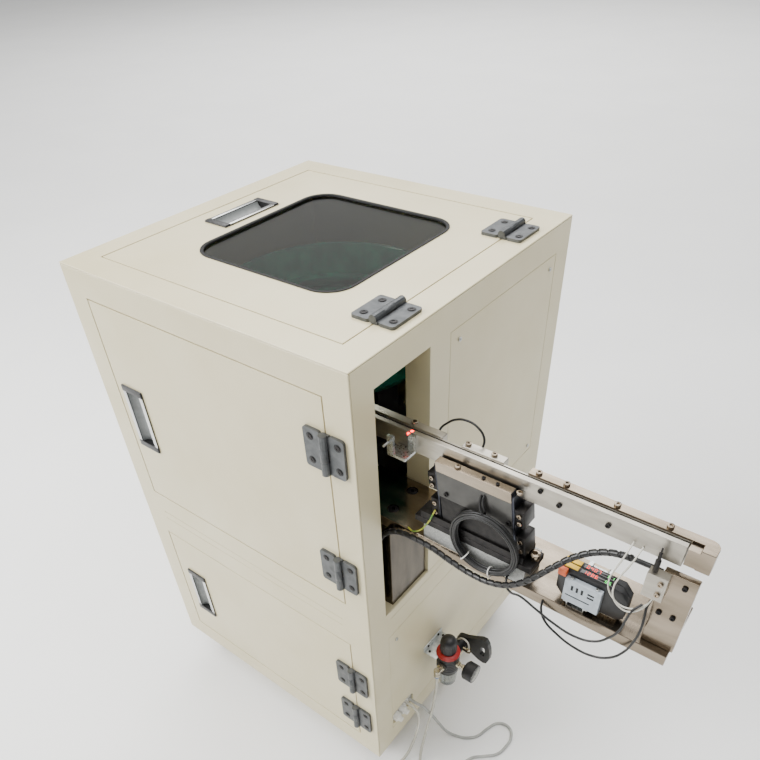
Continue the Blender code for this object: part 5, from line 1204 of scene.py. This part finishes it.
printed_black = new_finish("printed_black_ink", "#1A1A1A", 0.6)
mottle(printed_black, "#141414", "#242424", 3.0)
ticks = []
for i in range(31):
    radius, long_mm, wide_mm = (14.6, 3.4, 0.55) if i % 3 == 0 else (15.4, 1.6, 0.3)
    ticks.append(dial_mark("tick", radius, ZERO_AT + TICK_STEP * i, long_mm, wide_mm))
complete(join_as(ticks, "dial_ticks"), printed_black, "cabinet")
needle = dial_mark("needle", 5.0, ZERO_AT, 17.0, 1.0, 0.5)
hub = lathe("needle_hub", (dial_x + CARD_MM, *GAUGE), "X", [(2.6, 0.0), (2.6, 0.9), (1.8, 1.2)], 24)
complete(join_as([needle, hub], "needle_and_hub"), printed_black, "cabinet")
cover = lathe("dial_cover", (gauge_high.x - 0.6, *GAUGE), "X", [(17.9, 0.0), (17.9, 0.35), (16.8, 0.6)], 48)
complete(cover, clear_acrylic, "cabinet")
print("ticks", len(ticks))

# %% [markdown]
# ## Short air link
# A second, thinner tube runs from the side of the shut-off valve back through the panel.

# %% Valve elbow and the thin tube
VALVE_Y = 230.0
LINK_Z = 154.6
boss_rings = [(4.6, 0.0), (4.6, 8.0), (5.2, 8.6), (5.2, 16.0), (4.0, 17.6)]
side_boss = lathe("valve_side_boss", (654.6, VALVE_Y, PORT_Z), "X", boss_rings, 20)
side_top = lathe("valve_side_top", (667.5, VALVE_Y, PORT_Z), "Z", [(4.2, 0.0), (4.2, 8.4), (3.2, 9.2)], 20)
complete(join_as([side_boss, side_top], "valve_elbow"), turned_brass, "cabinet")
LINK_MM = 4.0
link_route = [(667.5, VALVE_Y, 182.6), (667.5, 230, 190), (664.5, 230.6, 199), (656.5, 231.8, 203),
              (648, 233.6, 199), (639.5, 236, 187), (629.5, 239, 172), (619, 241.5, 161),
              (609.5, 243.4, 155.6), (600.4, 244, LINK_Z)]
air_link = strand("air_link", link_route, LINK_MM, pale_tube, 2, 6)
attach(air_link, "cabinet")
grommet_rings = [(5.6, 0.0), (5.6, 1.2), (4.6, 2.2), (2.2, 2.2)]
grommet = lathe("panel_grommet", (panel_face, 244, LINK_Z), "X", grommet_rings, 24)
complete(grommet, black_abs, "cabinet")

# %% [markdown]
# ## Sensor amplifiers
# Two amplifiers, 10 mm wide, sit on a 35 mm mounting rail behind a pale end clamp with dark slots. Each has
# a yellow rocker strip at one end and a dark window with red and green figures.

# %% Part the solid into rail, cases and end clamp
RAIL_TOP_Z = 647.85
CLAMP_REAR_Y = 86.48
over_rail = ((0, 0, RAIL_TOP_Z), (0, 0, 1))
under_rail = ((0, 0, RAIL_TOP_Z), (0, 0, -1))
parts_of("sensor_amplifiers", "cabinet", [
    ("mounting_rail", zinc_plate, "amplifier_plastic", [under_rail]),
    ("amplifier_cases", black_abs, "amplifier_plastic", [over_rail, ((0, CLAMP_REAR_Y, 0), (0, 1, 0))]),
    ("rail_end_clamp", pale_abs, "amplifier_plastic", [over_rail, ((0, CLAMP_REAR_Y, 0), (0, -1, 0))])])

# %% Strips, windows and figures
yellow_abs = new_finish("moulded_yellow_abs", "#E0B21E", 0.4)
mottle(yellow_abs, "#D5A718", "#E8BD2B", 6.0)
relief(yellow_abs, 0.7, 0.012)
orange_abs = new_finish("moulded_orange_abs", "#D9591C", 0.4)
mottle(orange_abs, "#CC5017", "#E26425", 6.0)
relief(orange_abs, 0.7, 0.012)
lit_red = new_finish("lit_red_segments", "#E02A1A", 0.4)
lit_green = new_finish("lit_green_segments", "#3FC552", 0.4)
for lit, colour in ((lit_red, "#FF3A22"), (lit_green, "#4BE060")):
    shader = lit.node_tree.nodes["Principled BSDF"]
    shader.inputs["Emission Color"].default_value = linear(colour)
    shader.inputs["Emission Strength"].default_value = 1.6
    mottle(lit, colour, colour, 2.0)
dark_window = new_finish("smoked_display_window", "#120A0A", 0.08)
uneven_gloss(dark_window, 0.05, 0.14, 6.0)
amp_top = edges_of("sensor_amplifiers")[1].z
FIGURES_LOW = 0.32
FIGURES_HIGH = 0.42
SEGMENTS = {'0': "abcdef", '1': "bc", '2': "abged", '3': "abgcd", '4': "fgbc", '5': "afgcd", '6': "afgedc",
            '7': "abc", '8': "abcdefg", '9': "abfgcd"}


def figure(character, x, y, tall):
    """One seven-segment figure lying on the cases' top; it reads from the front."""
    wide, bar = tall * 0.5, tall * 0.13
    half = tall / 2
    spots = {'a': (0, tall, wide, bar), 'g': (0, half, wide, bar), 'd': (0, 0, wide, bar),
             'f': (0, half, bar, half), 'b': (wide, half, bar, half), 'e': (0, 0, bar, half),
             'c': (wide, 0, bar, half)}
    made = []
    for segment in SEGMENTS[character]:
        u, v, long, high = spots[segment]
        made.append(block("segment", (x + u, y + v, amp_top + FIGURES_LOW),
                          (x + u + long, y + v + high, amp_top + FIGURES_HIGH)))
    return made


FIGURE_STEP = 5.2
strips, windows, red_figures, green_figures = [], [], [], []
for y, red_text, green_text in ((87.6, "1286", "95"), (98.0, "0407", "81")):
    strips.append(block("strip", (871, y + 0.4, amp_top - 0.2), (894, y + 8.2, amp_top + 1.1)))
    windows.append(block("window", (897, y + 0.4, amp_top - 0.1), (943, y + 8.4, amp_top + 0.3)))
    for i, character in enumerate(red_text):
        red_figures += figure(character, 901 + FIGURE_STEP * i, y + 1.9, 5.0)
    for i, character in enumerate(green_text):
        green_figures += figure(character, 930 + FIGURE_STEP * i, y + 1.9, 4.2)
for pieces, name, finish, rounding_mm in ((strips, "rocker_strips", yellow_abs, 0.25),
                                          (windows, "display_windows", dark_window, 0.25),
                                          (red_figures, "red_figures", lit_red, 0.0),
                                          (green_figures, "green_figures", lit_green, 0.0)):
    made = join_as(pieces, name)
    if rounding_mm:
        soften(made, rounding_mm, 2)
    complete(made, finish, "cabinet")

# %% Connector, and slots and screws of the end clamp
connector = block("connector", (871, 79.2, 690.0), (882.5, 86.9, 700.5))
soften(connector, 0.5, 2)
complete(connector, orange_abs, "cabinet")
# The end clamp's slots are thin dark blocks of painted shade, in the counterbores' finish
clamp_slots = [block("slot", (x, 78.2, z), (x + long, 78.75, z + tall))
               for x, z, long, tall in ((893, 672, 3.0, 9.0), (900, 672, 3.0, 9.0), (907, 672, 3.0, 9.0),
                                        (916, 671, 9.0, 3.0), (916, 677, 9.0, 3.0), (887, 660, 34.0, 1.6))]
complete(join_as(clamp_slots, "end_clamp_slots"), recess_shade, "cabinet")
fasten(m3_head, "end_clamp_screws", "Z", [(891, 82.8, 689.2), (926, 82.8, 689.2)], zinc_plate, "cabinet")
print("figures", len(red_figures) + len(green_figures), "segments")

# %% [markdown]
# ## End of the arm
# A plate stands at the arm's end with a steel block for the fibre sensor, which looks at the track's outlet.
# Two thin light guides hang between the track's end and this plate. At the slot another sensor throws a spot
# of red light on the track, and its lead makes an arc behind the rail.

# %% End support and sensor head
END_PLATE_Y = 83.97
parts_of("end_support", "cabinet", [
    ("end_plate", bright_nickel, "plated_steel", [((0, END_PLATE_Y, 0), (0, 1, 0))]),
    ("fibre_block", satin_steel, "plated_steel", [((0, END_PLATE_Y, 0), (0, -1, 0))])])
end_low, end_high = edges_of("end_support")
fasten(m4_head, "fibre_block_screws", "-Y", [(996, end_low.y, 759), (996, end_low.y, 741)], bright_nickel,
       "cabinet")
fasten(m4_head, "end_plate_screws", "-Y", [(1020, 84.0, 701), (1003, 84.0, 701), (1021, 84.0, 756)],
       black_oxide, "cabinet")
head_rings = [(3.0, 0.0), (3.4, 0.8), (3.4, 18.0), (2.2, 19.0), (2.2, 30.0), (1.1, 31.0), (1.1, 38.0)]
sensor_head = lathe("fibre_head", (984.5, 78.0, end_high.z), "Z", head_rings, 20)
complete(sensor_head, black_oxide, "cabinet")
print("end support top", round(end_high.z, 1))

# %% Spot of red light on the track's front rail
SPOT_TALL = 0.12
rail_top = edges_of("track_front_rail")[1].z
spot_front = lathe("light_spot", (622.0, track_front - 0.05, 805.5), "-Y", [(3.4, 0.0), (3.4, SPOT_TALL)], 24)
spot_top = lathe("light_spot_top", (625.0, 95.5, rail_top), "Z", [(2.6, 0.0), (2.6, SPOT_TALL)], 24)
spot = join_as([spot_front, spot_top], "light_spot")
lit_spot = new_finish("red_light_spot", "#FF2A18", 0.4)
spot_shader = lit_spot.node_tree.nodes["Principled BSDF"]
spot_shader.inputs["Emission Color"].default_value = linear("#FF1E10")
spot_shader.inputs["Emission Strength"].default_value = 9.0
mottle(lit_spot, "#FF2A18", "#FF4430", 2.0)
complete(spot, lit_spot, "track_unit")

# %% Light guides and the lead behind the track
GUIDE_MM = 2.2
guide_route = [(950, 91.8, 786), (949.5, 84, 783), (947, 75, 770), (942, 71, 750), (939, 70, 731),
               (941.5, 70, 715), (949, 70, 704), (961, 70, 697), (974, 72, 698), (984, 77, 704),
               (990, 83.8, 709)]
print("light guide", round(loose_lead("light_guide", guide_route, GUIDE_MM, pale_tube), 3))
second_route = [(962, 91.8, 784), (961, 84, 780), (957, 74, 765), (951, 66.5, 747), (948, 64, 730),
                (951, 63, 713), (960, 63, 702), (972, 65, 698), (983, 71, 703), (989, 77, 712),
                (992, 83.8, 719)]
print("second guide", round(loose_lead("second_light_guide", second_route, GUIDE_MM, pale_tube), 3))
ARC_MM = 3.4
arc_route = [(655, 117.2, 808), (656, 122, 813), (663, 125, 821), (676, 125.5, 832), (694, 125.5, 837.5),
             (711, 125, 834), (722, 124, 823), (724, 121, 812), (722, 117.2, 806)]
arc = strand("rear_sensor_lead", arc_route, ARC_MM, black_pvc, 2, 8)
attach(arc, "track_unit")

# %% [markdown]
# ## Feet
# Each levelling foot has a rubber pad under a red-brown dial that is turned by hand.

# %% Part the feet into pad and dial
PAD_TOP = -71.0
for corner in CORNERS:
    parts_of(f"caster_{corner}_foot", f"foot_{corner}", [
        (f"{corner}_dial", red_brown, "foot_rubber", [((0, 0, PAD_TOP), (0, 0, 1))]),
        (f"{corner}_pad", seal_rubber, "foot_rubber", [((0, 0, PAD_TOP), (0, 0, -1))])])
for template in (m10_head, m5_head, m4_head, m3_head, hinge_head):
    bpy.data.objects.remove(template, do_unlink=True)
print("feet parted")

# %% [markdown]
# ## Floor and light
# A plain pale floor and large soft lights, as in a photo studio. The strongest light stands to the front
# left and above, which leaves the cabinet's right side in the soft shade that the photograph has. A wide
# light over the floor behind the cabinet keeps the background as bright as the foreground.

# %% Floor, lights and background
start_clean()
bpy.ops.mesh.primitive_plane_add(size=70.0, location=(0.0, 10.0, 0.0))
floor = bpy.context.object
floor.name = "studio_floor"
floor_paint = new_finish("pale_floor_paint", "#F4F4F2", 0.7)
mottle(floor_paint, "#F2F2F0", "#F6F6F4", 600.0)
floor.data.materials.append(floor_paint)
LIGHTS = [
    ("window_light", (-2.6, -2.4, 2.9), (0.0, 0.0, 0.5), 2.4, 285.0),
    ("ceiling_light", (0.3, -0.1, 3.2), (0.0, 0.0, 0.5), 2.6, 105.0),
    ("backdrop_light", (-4.0, 6.0, 6.0), (-4.2, 6.2, 0.0), 7.0, 900.0),
]
for name, where, towards, size, watts in LIGHTS:
    light = bpy.data.lights.new(name, 'AREA')
    light.shape = 'SQUARE'
    light.size = size
    light.energy = watts
    holder = bpy.data.objects.new(name, light)
    holder.location = where
    aim = Vector(towards) - Vector(where)
    holder.rotation_euler = aim.to_track_quat('-Z', 'Y').to_euler()
    bpy.context.scene.collection.objects.link(holder)
world = bpy.data.worlds.new("studio")
world.use_nodes = True
background = world.node_tree.nodes["Background"]
background.inputs["Color"].default_value = linear("#FFFFFF")
background.inputs["Strength"].default_value = 0.5
bpy.context.scene.world = world
print("lights", len(LIGHTS))
